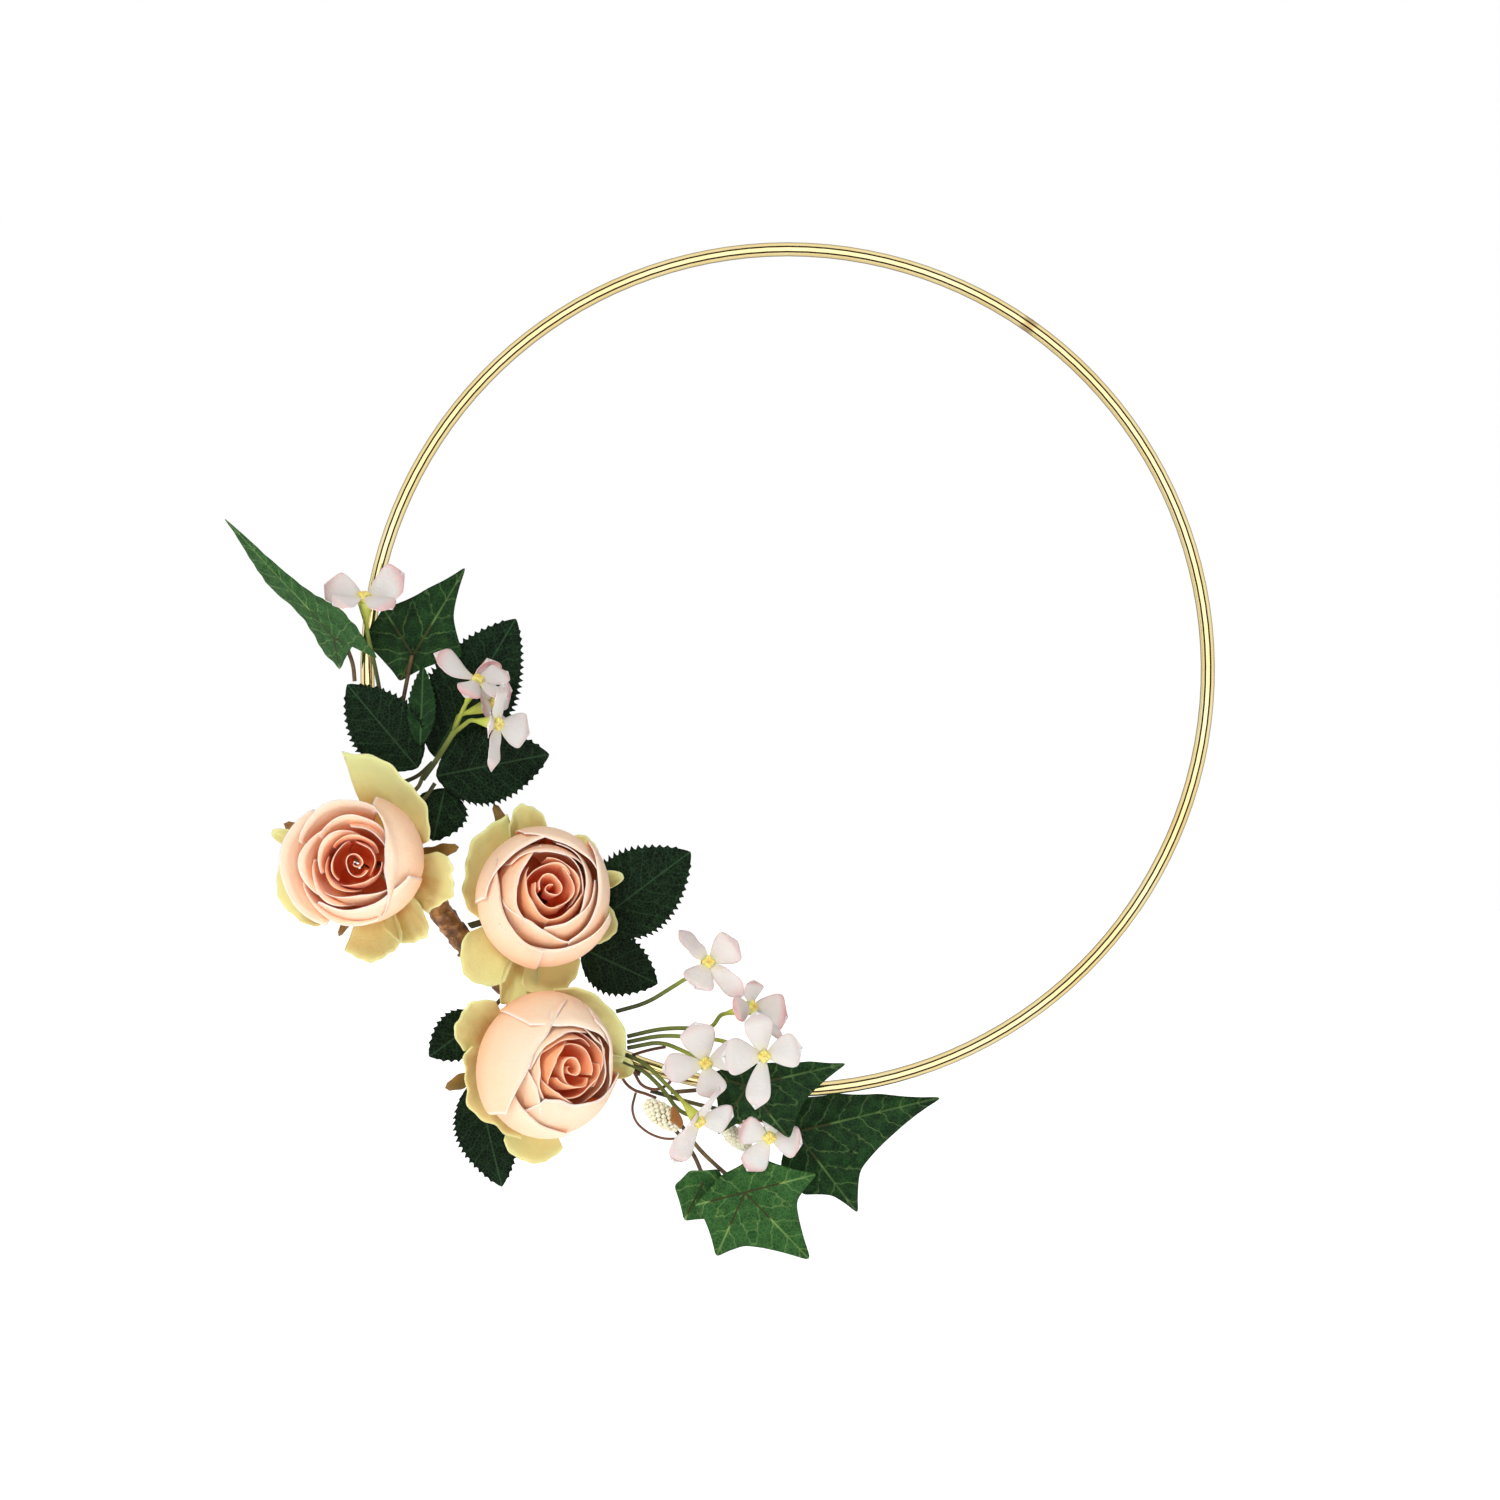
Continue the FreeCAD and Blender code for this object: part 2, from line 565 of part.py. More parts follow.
# ---- the parts ---------------------------------------------------------------------------------
def make_parts():
    """Every node of the wreath, by name."""
    parts = {"hoop": make_hoop(), "core_stem": make_core_stem(), "binding_wire": make_binding()}
    for name, (start, end) in TAPE_ARCS.items():
        parts[name] = make_tape(start, end)
    for name, rose in ROSES.items():
        frame = rose_frame(rose)
        parts[name + "_core"] = place(make_rose_core(), *frame)
        parts[name + "_inner_petals"] = place(make_petal_ring(INNER_SECTION, INNER_THICKNESS, 20), *frame)
        parts[name + "_outer_petals"] = place(make_petal_ring(OUTER_SECTION, OUTER_THICKNESS, 54), *frame)
        parts[name + "_guard_petals"] = place(make_guards(rose["guards"]), *frame)
        parts[name + "_calyx"] = place(make_calyx(rose["sepals"]), *frame)
    parts["rose_stems"] = make_rose_stems()
    parts["rose_leaf_stems"] = make_leaf_stems()
    for name, leaf in ROSE_LEAVES.items():
        parts[name] = make_rose_leaf(*leaf)
    for name, leaf in IVY_LEAVES.items():
        parts[name] = make_ivy_leaf(leaf)
    parts.update(make_petioles())
    for name in BLOSSOMS:
        parts[name] = make_corolla(name)
    parts.update(make_sprigs())
    parts["bead_pods"] = make_bead_pods()
    parts["tendril_wire"] = make_tendril()
    return parts


def export(parts):
    """Write each node in the row's frame, whose origin is the hook's place at the top of the hoop."""
    os.makedirs("parts", exist_ok=True)
    for name, shape in parts.items():
        moved = shape.copy()
        moved.translate(V(0, 0, -HANG_HEIGHT))
        moved.exportStep("parts/" + name + ".step")
    print(len(parts), "nodes written")


export(make_parts())
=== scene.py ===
"""Looks of the floral hoop wreath: fabric roses, blossoms, leaves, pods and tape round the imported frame."""
import json
import math
import random

import bpy
import numpy as np
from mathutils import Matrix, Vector, noise

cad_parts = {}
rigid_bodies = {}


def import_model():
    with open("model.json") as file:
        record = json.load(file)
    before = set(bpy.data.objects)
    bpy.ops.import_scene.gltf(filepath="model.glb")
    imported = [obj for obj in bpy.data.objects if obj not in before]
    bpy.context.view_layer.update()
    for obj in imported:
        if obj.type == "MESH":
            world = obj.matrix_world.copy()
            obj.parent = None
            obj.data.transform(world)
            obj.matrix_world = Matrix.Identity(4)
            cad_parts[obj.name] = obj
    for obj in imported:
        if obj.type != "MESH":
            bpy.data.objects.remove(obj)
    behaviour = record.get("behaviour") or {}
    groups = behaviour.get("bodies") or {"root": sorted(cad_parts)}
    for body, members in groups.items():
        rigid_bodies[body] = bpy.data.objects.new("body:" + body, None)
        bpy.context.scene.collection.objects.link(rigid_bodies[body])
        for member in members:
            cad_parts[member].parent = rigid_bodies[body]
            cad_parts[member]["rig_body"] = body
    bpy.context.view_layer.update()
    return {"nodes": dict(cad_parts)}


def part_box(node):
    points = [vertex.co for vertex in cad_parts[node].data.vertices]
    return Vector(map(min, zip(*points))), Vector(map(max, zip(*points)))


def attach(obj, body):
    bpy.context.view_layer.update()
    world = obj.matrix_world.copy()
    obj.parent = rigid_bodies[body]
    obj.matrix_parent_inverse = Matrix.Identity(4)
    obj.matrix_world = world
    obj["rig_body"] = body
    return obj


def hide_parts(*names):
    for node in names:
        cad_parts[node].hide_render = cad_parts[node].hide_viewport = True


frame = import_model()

MM = 0.001
PAPER_WHITE = (1.0, 1.0, 1.0, 1.0)
HOOP_LOW, HOOP_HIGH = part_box("hoop")
HOOP_CENTRE = (HOOP_LOW + HOOP_HIGH) / 2

# thickness of each kind of piece, in metres
PETAL_THICKNESS = 0.26 * MM
CALYX_THICKNESS = 0.4 * MM
ROSE_LEAF_THICKNESS = 0.3 * MM
IVY_THICKNESS = 0.32 * MM
BLOSSOM_THICKNESS = 0.22 * MM
BRACT_THICKNESS = 0.25 * MM

# side veins in mm, and how far each runs outward along its rib for each mm away from it
ROSE_VEIN_PITCH = 5.5
IVY_VEIN_PITCH = 7.5
VEIN_SLANT = 0.85
BROWN_RIB_END = 12.0  # distance from the foot where an ivy leaf's ribs turn green, in mm

# ---- where the parts are ----


def node_points(node):
    """Corners of a CAD node's mesh, in metres."""
    return np.array([v.co for v in frame["nodes"][node].data.vertices], float)


def node_triangles(node):
    """Triangles of a CAD node's mesh, as corners in metres."""
    mesh = frame["nodes"][node].data
    mesh.calc_loop_triangles()
    return node_points(node)[np.array([t.vertices[:] for t in mesh.loop_triangles])]


def node_axes(node):
    """Middle of a node's surface, its principal directions, longest first and the last one towards the
    front, and its lopsidedness on each."""
    triangles = node_triangles(node)
    normals = np.cross(triangles[:, 1] - triangles[:, 0], triangles[:, 2] - triangles[:, 0])
    area = np.linalg.norm(normals, axis=1)
    spots = triangles.mean(axis=1)
    centre = (spots * area[:, None]).sum(0) / area.sum()
    arms = spots - centre
    _, vectors = np.linalg.eigh((arms * area[:, None]).T @ arms)
    axes = vectors[:, ::-1].T
    axes[2] *= -np.copysign(1, axes[2][1])
    skew = [(area * (arms @ axis) ** 3).sum() for axis in axes]
    return centre, axes, skew


def facing(out):
    """Right and up directions of a flower that faces along out."""
    up = np.array([0.0, 0.0, 1.0]) - out * out[2]
    up /= np.linalg.norm(up)
    return np.cross(up, out), up


def turned(x, y, angle):
    """x and y turned by an angle in radians, counter-clockwise."""
    return x * np.cos(angle) - y * np.sin(angle), x * np.sin(angle) + y * np.cos(angle)


def placed(origin, distances, axes):
    """Points at distances in mm along axes, from an origin in metres."""
    return origin + sum(d[..., None] * axis for d, axis in zip(distances, axes)) * MM


# ---- meshes ----


def new_object(name, data):
    """An object of a mesh, lamp or camera, in the scene."""
    made = bpy.data.objects.new(name, data)
    bpy.context.scene.collection.objects.link(made)
    return made


def along_curve(points, share):
    """Points at shares from 0 to 1 of a smooth curve through points."""
    p = np.array(points, float)
    p = np.vstack([2 * p[0] - p[1], p, 2 * p[-1] - p[-2]])
    place = np.clip(share, 0, 1) * (len(points) - 1)
    i = np.minimum(place.astype(int), len(points) - 2)
    f = (place - i)[..., None]
    a, b, c, d = p[i], p[i + 1], p[i + 2], p[i + 3]
    return 0.5 * (2 * b + (c - a) * f + (2 * a - 5 * b + 4 * c - d) * f**2 + (3 * b - a - 3 * c + d) * f**3)


def smooth_step(value, low, high):
    """0 below low, 1 above high and smooth between."""
    t = np.clip((value - low) / (high - low), 0, 1)
    return t * t * (3 - 2 * t)


class Sheets:
    """Collects grids of points into one mesh. Its marks are three numbers that the material may read."""

    def __init__(self):
        self.points, self.faces, self.marks = [], [], []

    def add(self, grid, marks=0.0, wrap=False, caps=""):
        """A grid of rows x columns points in metres. wrap joins its sides, caps names the filled ends."""
        rows, columns = grid.shape[:2]
        first = len(self.points)
        self.points.extend(grid.reshape(-1, 3).tolist())
        self.marks.extend(np.broadcast_to(marks, grid.shape).reshape(-1, 3).tolist())
        for i in range(rows - 1):
            for j in range(columns if wrap else columns - 1):
                k = (j + 1) % columns
                low, high = first + i * columns, first + (i + 1) * columns
                self.faces.append((low + j, low + k, high + k, high + j))
        if "first" in caps:
            self.faces.append(tuple(first + j for j in range(columns))[::-1])
        if "last" in caps:
            self.faces.append(tuple(first + (rows - 1) * columns + j for j in range(columns)))

    def finish(self, name, slot, node, thickness=0.0, look=None, hides=True):
        """Makes the piece, thickness in metres. It rides on the node's body and hides the node if asked."""
        mesh = bpy.data.meshes.new(name)
        mesh.from_pydata(self.points, [], self.faces)
        attribute = mesh.attributes.new("marks", "FLOAT_VECTOR", "POINT")
        attribute.data.foreach_set("vector", np.array(self.marks, np.float32).ravel())
        mesh.materials.append(FINISHES[look or slot])
        mesh.shade_smooth()
        piece = new_object(name, mesh)
        if thickness:
            solid = piece.modifiers.new("thickness", "SOLIDIFY")
            solid.thickness = thickness
            solid.offset = 0
        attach(piece, frame["nodes"][node]["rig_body"])
        if hides:
            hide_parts(node)


def stacked(*channels):
    """Three channels of any shape as one array, for marks or points."""
    return np.stack(np.broadcast_arrays(*channels), axis=-1)


# ---- materials ----


class Nodes:
    """Adds shader nodes to a tree and gives back their outputs."""

    def __init__(self, tree):
        self.tree = tree

    def node(self, kind, inputs=(), **settings):
        made = self.tree.nodes.new(kind)
        for key, value in settings.items():
            setattr(made, key, value)
        for key, value in dict(inputs).items():
            if isinstance(value, bpy.types.NodeSocket):
                self.tree.links.new(value, made.inputs[key])
            else:
                made.inputs[key].default_value = value
        return made

    def math(self, operation, a, b=0.0):
        return self.node("ShaderNodeMath", {0: a, 1: b}, operation=operation).outputs[0]

    def times(self, a, b):
        return self.math("MULTIPLY", a, b)

    def noise(self, vector, scale, detail=4.0, roughness=0.55):
        inputs = {"Vector": vector, "Scale": scale, "Detail": detail, "Roughness": roughness}
        return self.node("ShaderNodeTexNoise", inputs).outputs[0]

    def distance(self, vector, spot):
        """Distance from a point that is given in metres."""
        inputs = {0: vector, 1: tuple(spot)}
        return self.node("ShaderNodeVectorMath", inputs, operation="DISTANCE").outputs["Value"]

    def window(self, value, low, high, to_low=0.0, to_high=1.0):
        inputs = {0: value, 1: low, 2: high, 3: to_low, 4: to_high}
        return self.node("ShaderNodeMapRange", inputs, interpolation_type="SMOOTHSTEP").outputs[0]

    def ramp(self, factor, *stops):
        made = self.node("ShaderNodeValToRGB", {0: factor})
        elements = made.color_ramp.elements
        while len(elements) < len(stops):
            elements.new(0.5)
        for element, (place, colour) in zip(elements, stops):
            element.position = place
            element.color = (*colour, 1)
        return made.outputs[0]

    def mix(self, factor, a, b, blend="MIX"):
        """Blend of a and b, which are colours or sockets."""
        colours = [(*c, 1) if isinstance(c, tuple) else c for c in (a, b)]
        inputs = {0: factor, 6: colours[0], 7: colours[1]}
        return self.node("ShaderNodeMix", inputs, data_type="RGBA", blend_type=blend).outputs[2]

    def bump(self, height, distance, strength=1.0, below=None):
        inputs = {"Height": height, "Distance": distance, "Strength": strength}
        if below:
            inputs["Normal"] = below
        return self.node("ShaderNodeBump", inputs).outputs[0]


class Finish(Nodes):
    """A node material under construction."""

    def __init__(self, name, roughness, **sockets):
        self.material = bpy.data.materials.new(name)
        self.material.use_nodes = True
        super().__init__(self.material.node_tree)
        self.shader = self.tree.nodes["Principled BSDF"]
        self.shader.inputs["Roughness"].default_value = roughness
        for socket, value in sockets.items():
            self.shader.inputs[socket.replace("_", " ")].default_value = value

    def marks(self):
        """The mesh's marks, as a vector socket and its three parts."""
        vector = self.node("ShaderNodeAttribute", attribute_name="marks").outputs["Vector"]
        parts = self.node("ShaderNodeSeparateXYZ", {0: vector}).outputs
        return vector, parts[0], parts[1], parts[2]

    def place(self):
        return self.node("ShaderNodeTexCoord").outputs["Object"]

    def done(self, colour, normal=None, roughness=None):
        for socket, value in (("Base Color", colour), ("Normal", normal), ("Roughness", roughness)):
            if value:
                self.tree.links.new(value, self.shader.inputs[socket])
        return self.material


def petal_finish(name, stops, edge, shade, pale_share=0.9, sheen=0.25, tint_share=0.3):
    """Satin petal with painted glow and shade at its foot, deep in the bloom, fading to its pale edge. Marks
    are the share from foot to edge, closeness to the edge and a tint.
    """
    finish = Finish(name, 0.62, Sheen_Weight=sheen, Sheen_Roughness=0.4, Subsurface_Weight=0.2,
                    Subsurface_Scale=0.003, Specular_IOR_Level=0.3)
    vector = finish.place()
    _, along, rim, tint = finish.marks()
    cloud = finish.noise(vector, 90.0, 3.0)
    wander = finish.math("ADD", along, finish.times(finish.math("SUBTRACT", cloud, 0.5), 0.22))
    # painted glow and shade: the ramp runs from the deep corals at the foot, deep in the bloom, to the pale
    # edge
    colour = finish.ramp(wander, *stops)
    colour = finish.mix(finish.times(tint, tint_share), colour, shade, "MULTIPLY")
    edge_share = finish.times(finish.window(rim, 0.45, 1.0), pale_share)
    colour = finish.mix(edge_share, colour, edge)
    fibres = finish.noise(vector, 2600.0, 2.0, 0.7)
    colour = finish.mix(finish.window(fibres, 0.3, 0.75, 0.0, 0.1), colour, (0.75, 0.62, 0.55), "MULTIPLY")
    creases = finish.noise(vector, 240.0, 5.0, 0.6)
    normal = finish.bump(fibres, 0.00008, 0.5)
    normal = finish.bump(creases, 0.001, 0.5, normal)
    roughness = finish.window(creases, 0.3, 0.7, 0.52, 0.72)
    return finish.done(colour, normal, roughness)


def leaf_finish(name, dark, light, vein, spacing, vein_share, net_share, rough=0.55, rib=None):
    """Printed fabric leaf. Marks are mm along the nearest rib, mm away from it and the leaf's own tint."""
    finish = Finish(name, rough, Specular_IOR_Level=0.15)
    vector, along, away, tint = finish.marks()
    cloud = finish.noise(vector, 0.22, 4.0)
    colour = finish.mix(finish.window(cloud, 0.32, 0.72), dark, light)
    colour = finish.mix(finish.times(tint, 0.5), colour, (0.62, 0.72, 0.6), "MULTIPLY")
    slant = finish.math("SUBTRACT", along, finish.times(away, VEIN_SLANT))
    wobble = finish.times(finish.noise(vector, 0.2, 4.0), spacing * 0.9)
    beat = finish.math("FRACT", finish.math("DIVIDE", finish.math("ADD", slant, wobble), spacing))
    ridge = finish.math("ABSOLUTE", finish.math("SUBTRACT", beat, 0.5))
    patches = finish.window(finish.noise(vector, 0.12, 3.0), 0.3, 0.6, 0.25, 1.0)
    side = finish.times(finish.window(ridge, 0.07, 0.0), patches)
    inputs = {"Vector": vector, "Scale": 0.75}
    cells = finish.node("ShaderNodeTexVoronoi", inputs, feature="DISTANCE_TO_EDGE").outputs[0]
    net = finish.window(cells, 0.09, 0.0)
    main = finish.window(away, 0.5, 0.1)
    colour = finish.mix(finish.times(net, net_share), colour, vein)
    colour = finish.mix(finish.times(side, vein_share), colour, vein)
    if rib:
        vein = finish.mix(finish.window(along, BROWN_RIB_END, BROWN_RIB_END + 2), rib, vein)
        main = finish.times(main, finish.window(along, BROWN_RIB_END, 2 * BROWN_RIB_END, 1.0, 0.4))
    colour = finish.mix(finish.times(main, min(1.0, vein_share * 1.6)), colour, vein)
    grain = finish.noise(finish.place(), 2200.0, 2.0, 0.7)
    height = finish.math("MAXIMUM", finish.times(side, 0.8), finish.times(net, 0.45))
    height = finish.math("MAXIMUM", height, main)
    normal = finish.bump(grain, 0.00008, 0.6)
    normal = finish.bump(height, 0.0003, -0.7, normal)
    return finish.done(colour, normal, finish.window(grain, 0.3, 0.7, rough - 0.1, rough + 0.15))


def plain_finish(name, stops, roughness, scale, bump=0.0002, grain=1500.0, **sockets):
    """Mottled surface with a fine grain, for stems, wires and moulded parts."""
    finish = Finish(name, roughness, **sockets)
    vector = finish.place()
    cloud = finish.noise(vector, scale, 4.0)
    fine = finish.noise(vector, grain, 3.0, 0.65)
    colour = finish.ramp(cloud, *stops)
    colour = finish.mix(finish.window(fine, 0.35, 0.7, 0.0, 0.35), colour, (0.55, 0.5, 0.45), "MULTIPLY")
    normal = finish.bump(fine, bump, 0.6)
    return finish.done(colour, normal, finish.window(fine, 0.3, 0.7, roughness - 0.1, roughness + 0.12))


WELD_ANGLE = math.radians(55)


def gold_finish():
    """Polished pale gold plate with faint drawing lines and a few dull spots."""
    finish = Finish("hoop_gold_plate", 0.12, Metallic=1.0)
    vector = finish.place()
    cloud = finish.noise(vector, 26.0, 5.0)
    specks = finish.noise(vector, 900.0, 3.0, 0.7)
    arm = (HOOP_HIGH.x - HOOP_LOW.x - HOOP_HIGH.y + HOOP_LOW.y) / 2
    weld = HOOP_CENTRE + Vector((math.cos(WELD_ANGLE), 0, math.sin(WELD_ANGLE))) * arm
    gap = finish.distance(vector, weld)
    stops = (0.3, (0.95, 0.72, 0.32)), (0.52, (1.0, 0.82, 0.41)), (0.75, (1.0, 0.88, 0.52))
    colour = finish.ramp(cloud, *stops)
    colour = finish.mix(finish.window(specks, 0.68, 0.82, 0.0, 0.4), colour, (0.45, 0.28, 0.12), "MULTIPLY")
    colour = finish.mix(finish.window(gap, 4.5 * MM, 2.5 * MM, 0.0, 0.6), colour, (0.3, 0.16, 0.06))
    roughness = finish.window(specks, 0.35, 0.75, 0.06, 0.2)
    return finish.done(colour, finish.bump(specks, 0.00002, 0.25), roughness)


# the two deepest corals are brightened to paint glow at the petals' feet, which lie in shade deep in the
# bloom
PAINTED_GLOW_EMBER = (1.0, 0.24, 0.08)
PAINTED_GLOW_CORAL = (1.0, 0.35, 0.14)
APRICOT = (1.0, 0.48, 0.25)
PEACH = (1.0, 0.6, 0.39)
BLUSH = (0.97, 0.69, 0.52)
SHELL = (0.97, 0.8, 0.7)
LEMON = (0.74, 0.67, 0.29)
LIME = (0.7, 0.68, 0.31)
# painted shade: brown for the guard petals' feet, under the bloom
PAINTED_SHADE_OCHRE = (0.55, 0.33, 0.09)

FINISHES = {
    # each petal ramp paints glow and shade at its foot with the deep corals
    "rose_heart": petal_finish(
        "rose_heart_satin", ((0.3, PAINTED_GLOW_EMBER), (0.62, PAINTED_GLOW_CORAL), (0.84, APRICOT), (1.0, PEACH)),
        BLUSH, (0.95, 0.8, 0.72), 0.7),
    "rose_inner": petal_finish(
        "rose_inner_satin", ((0.3, PAINTED_GLOW_CORAL), (0.58, APRICOT), (0.78, PEACH), (0.96, BLUSH)),
        SHELL, (0.98, 0.9, 0.85)),
    "rose_outer": petal_finish(
        "rose_outer_satin", ((0.15, PAINTED_GLOW_CORAL), (0.38, APRICOT), (0.6, PEACH), (0.9, BLUSH)),
        (0.95, 0.8, 0.72), (0.98, 0.92, 0.86)),
    # the guards' ramp paints shade in ochre at their feet, under the bloom
    "rose_guard": petal_finish(
        "rose_guard_satin", ((0.4, PAINTED_SHADE_OCHRE), (0.62, LEMON), (0.82, LIME), (1.0, (0.74, 0.73, 0.33))),
        (0.8, 0.77, 0.36), (0.94, 0.94, 0.8), 0.6),
    "blossom_petal": petal_finish(
        "blossom_white_satin",
        ((0.0, (0.68, 0.62, 0.48)), (0.3, (0.67, 0.62, 0.6)), (1.0, (0.71, 0.66, 0.64))),
        (0.84, 0.79, 0.77), (1.0, 0.5, 0.52), 0.7, 0.1, 0.5),
    "rose_leaf": leaf_finish(
        "rose_leaf_print", (0.0015, 0.006, 0.002), (0.005, 0.017, 0.006), (0.03, 0.07, 0.03),
        ROSE_VEIN_PITCH, 0.4, 0.42, 0.7),
    "rose_leaf_mid": leaf_finish(
        "rose_leaf_mid_print", (0.006, 0.024, 0.007), (0.014, 0.05, 0.013), (0.05, 0.12, 0.04),
        4.5, 0.5, 0.2),
    "ivy_leaf": leaf_finish(
        "ivy_leaf_print", (0.003, 0.02, 0.005), (0.012, 0.052, 0.012), (0.12, 0.21, 0.06), IVY_VEIN_PITCH,
        0.5, 0.15, rib=(0.055, 0.05, 0.018)),
    "ivy_brown_rib": leaf_finish(
        "ivy_brown_rib_print", (0.012, 0.06, 0.012), (0.03, 0.11, 0.025), (0.19, 0.31, 0.09), 7, 0.55, 0.2,
        rib=(0.035, 0.028, 0.01)),
    "hoop_gold": gold_finish(),
    "paper_tape": plain_finish(
        "waxed_brown_tape",
        ((0.3, (0.05, 0.016, 0.005)), (0.5, (0.24, 0.09, 0.025)), (0.68, (0.62, 0.3, 0.11))),
        0.42, 260.0, 0.0004, 900.0, Coat_Weight=0.25, Coat_Roughness=0.3),
    "stem_wire": plain_finish(
        "brown_paper_wire", ((0.3, (0.05, 0.03, 0.012)), (0.7, (0.16, 0.09, 0.04))), 0.6, 300.0),
    "binding_wire": plain_finish(
        "brown_enamel_wire", ((0.3, (0.1, 0.035, 0.015)), (0.7, (0.24, 0.09, 0.035))), 0.35, 200.0),
    "rose_calyx": plain_finish(
        "calyx_olive_brown",
        ((0.3, (0.08, 0.08, 0.018)), (0.48, (0.24, 0.13, 0.03)), (0.68, (0.48, 0.19, 0.05))),
        0.5, 60.0),
    "rose_stem": plain_finish(
        "stem_olive", ((0.3, (0.03, 0.035, 0.01)), (0.7, (0.12, 0.1, 0.035))), 0.55, 120.0),
    "ivy_petiole": plain_finish(
        "petiole_brown",
        ((0.3, (0.05, 0.025, 0.01)), (0.5, (0.11, 0.065, 0.025)), (0.7, (0.18, 0.14, 0.04))),
        0.5, 150.0),
    "blossom_eye": plain_finish(
        "eye_yellow", ((0.3, (0.8, 0.58, 0.08)), (0.7, (0.93, 0.82, 0.3))), 0.55, 500.0, 0.0003, 1200.0),
    "pod_beads": plain_finish(
        "pod_cream", ((0.3, (0.86, 0.81, 0.56)), (0.7, (0.98, 0.96, 0.82))), 0.3, 500.0,
        Subsurface_Weight=0.15, Subsurface_Scale=0.001),
}

# ---- roses ----
BLOOM_TOP = 24.0  # height of the CAD outer petals' edge above the calyx, in mm
BLOOM_MIDDLE = 13.0  # height in a bloom, in mm, from which the guards' places are seen
DOME_TOP = 27.8  # height that a petal would reach at the bloom's axis, in mm
DOME_FALL = 70.0  # the dome falls by radius squared over this
SEPAL_HEIGHT = -3.0  # height in a bloom, in mm, at which the sepals' tips are seen
HEART_TURNS = 1.35  # turns of the spiral in the heart
CUP_PROFILE = ((1.3, -10), (2.2, -9.4), (4, -7.2), (5, -4.6), (4.3, -3.2))  # radius and height, in mm

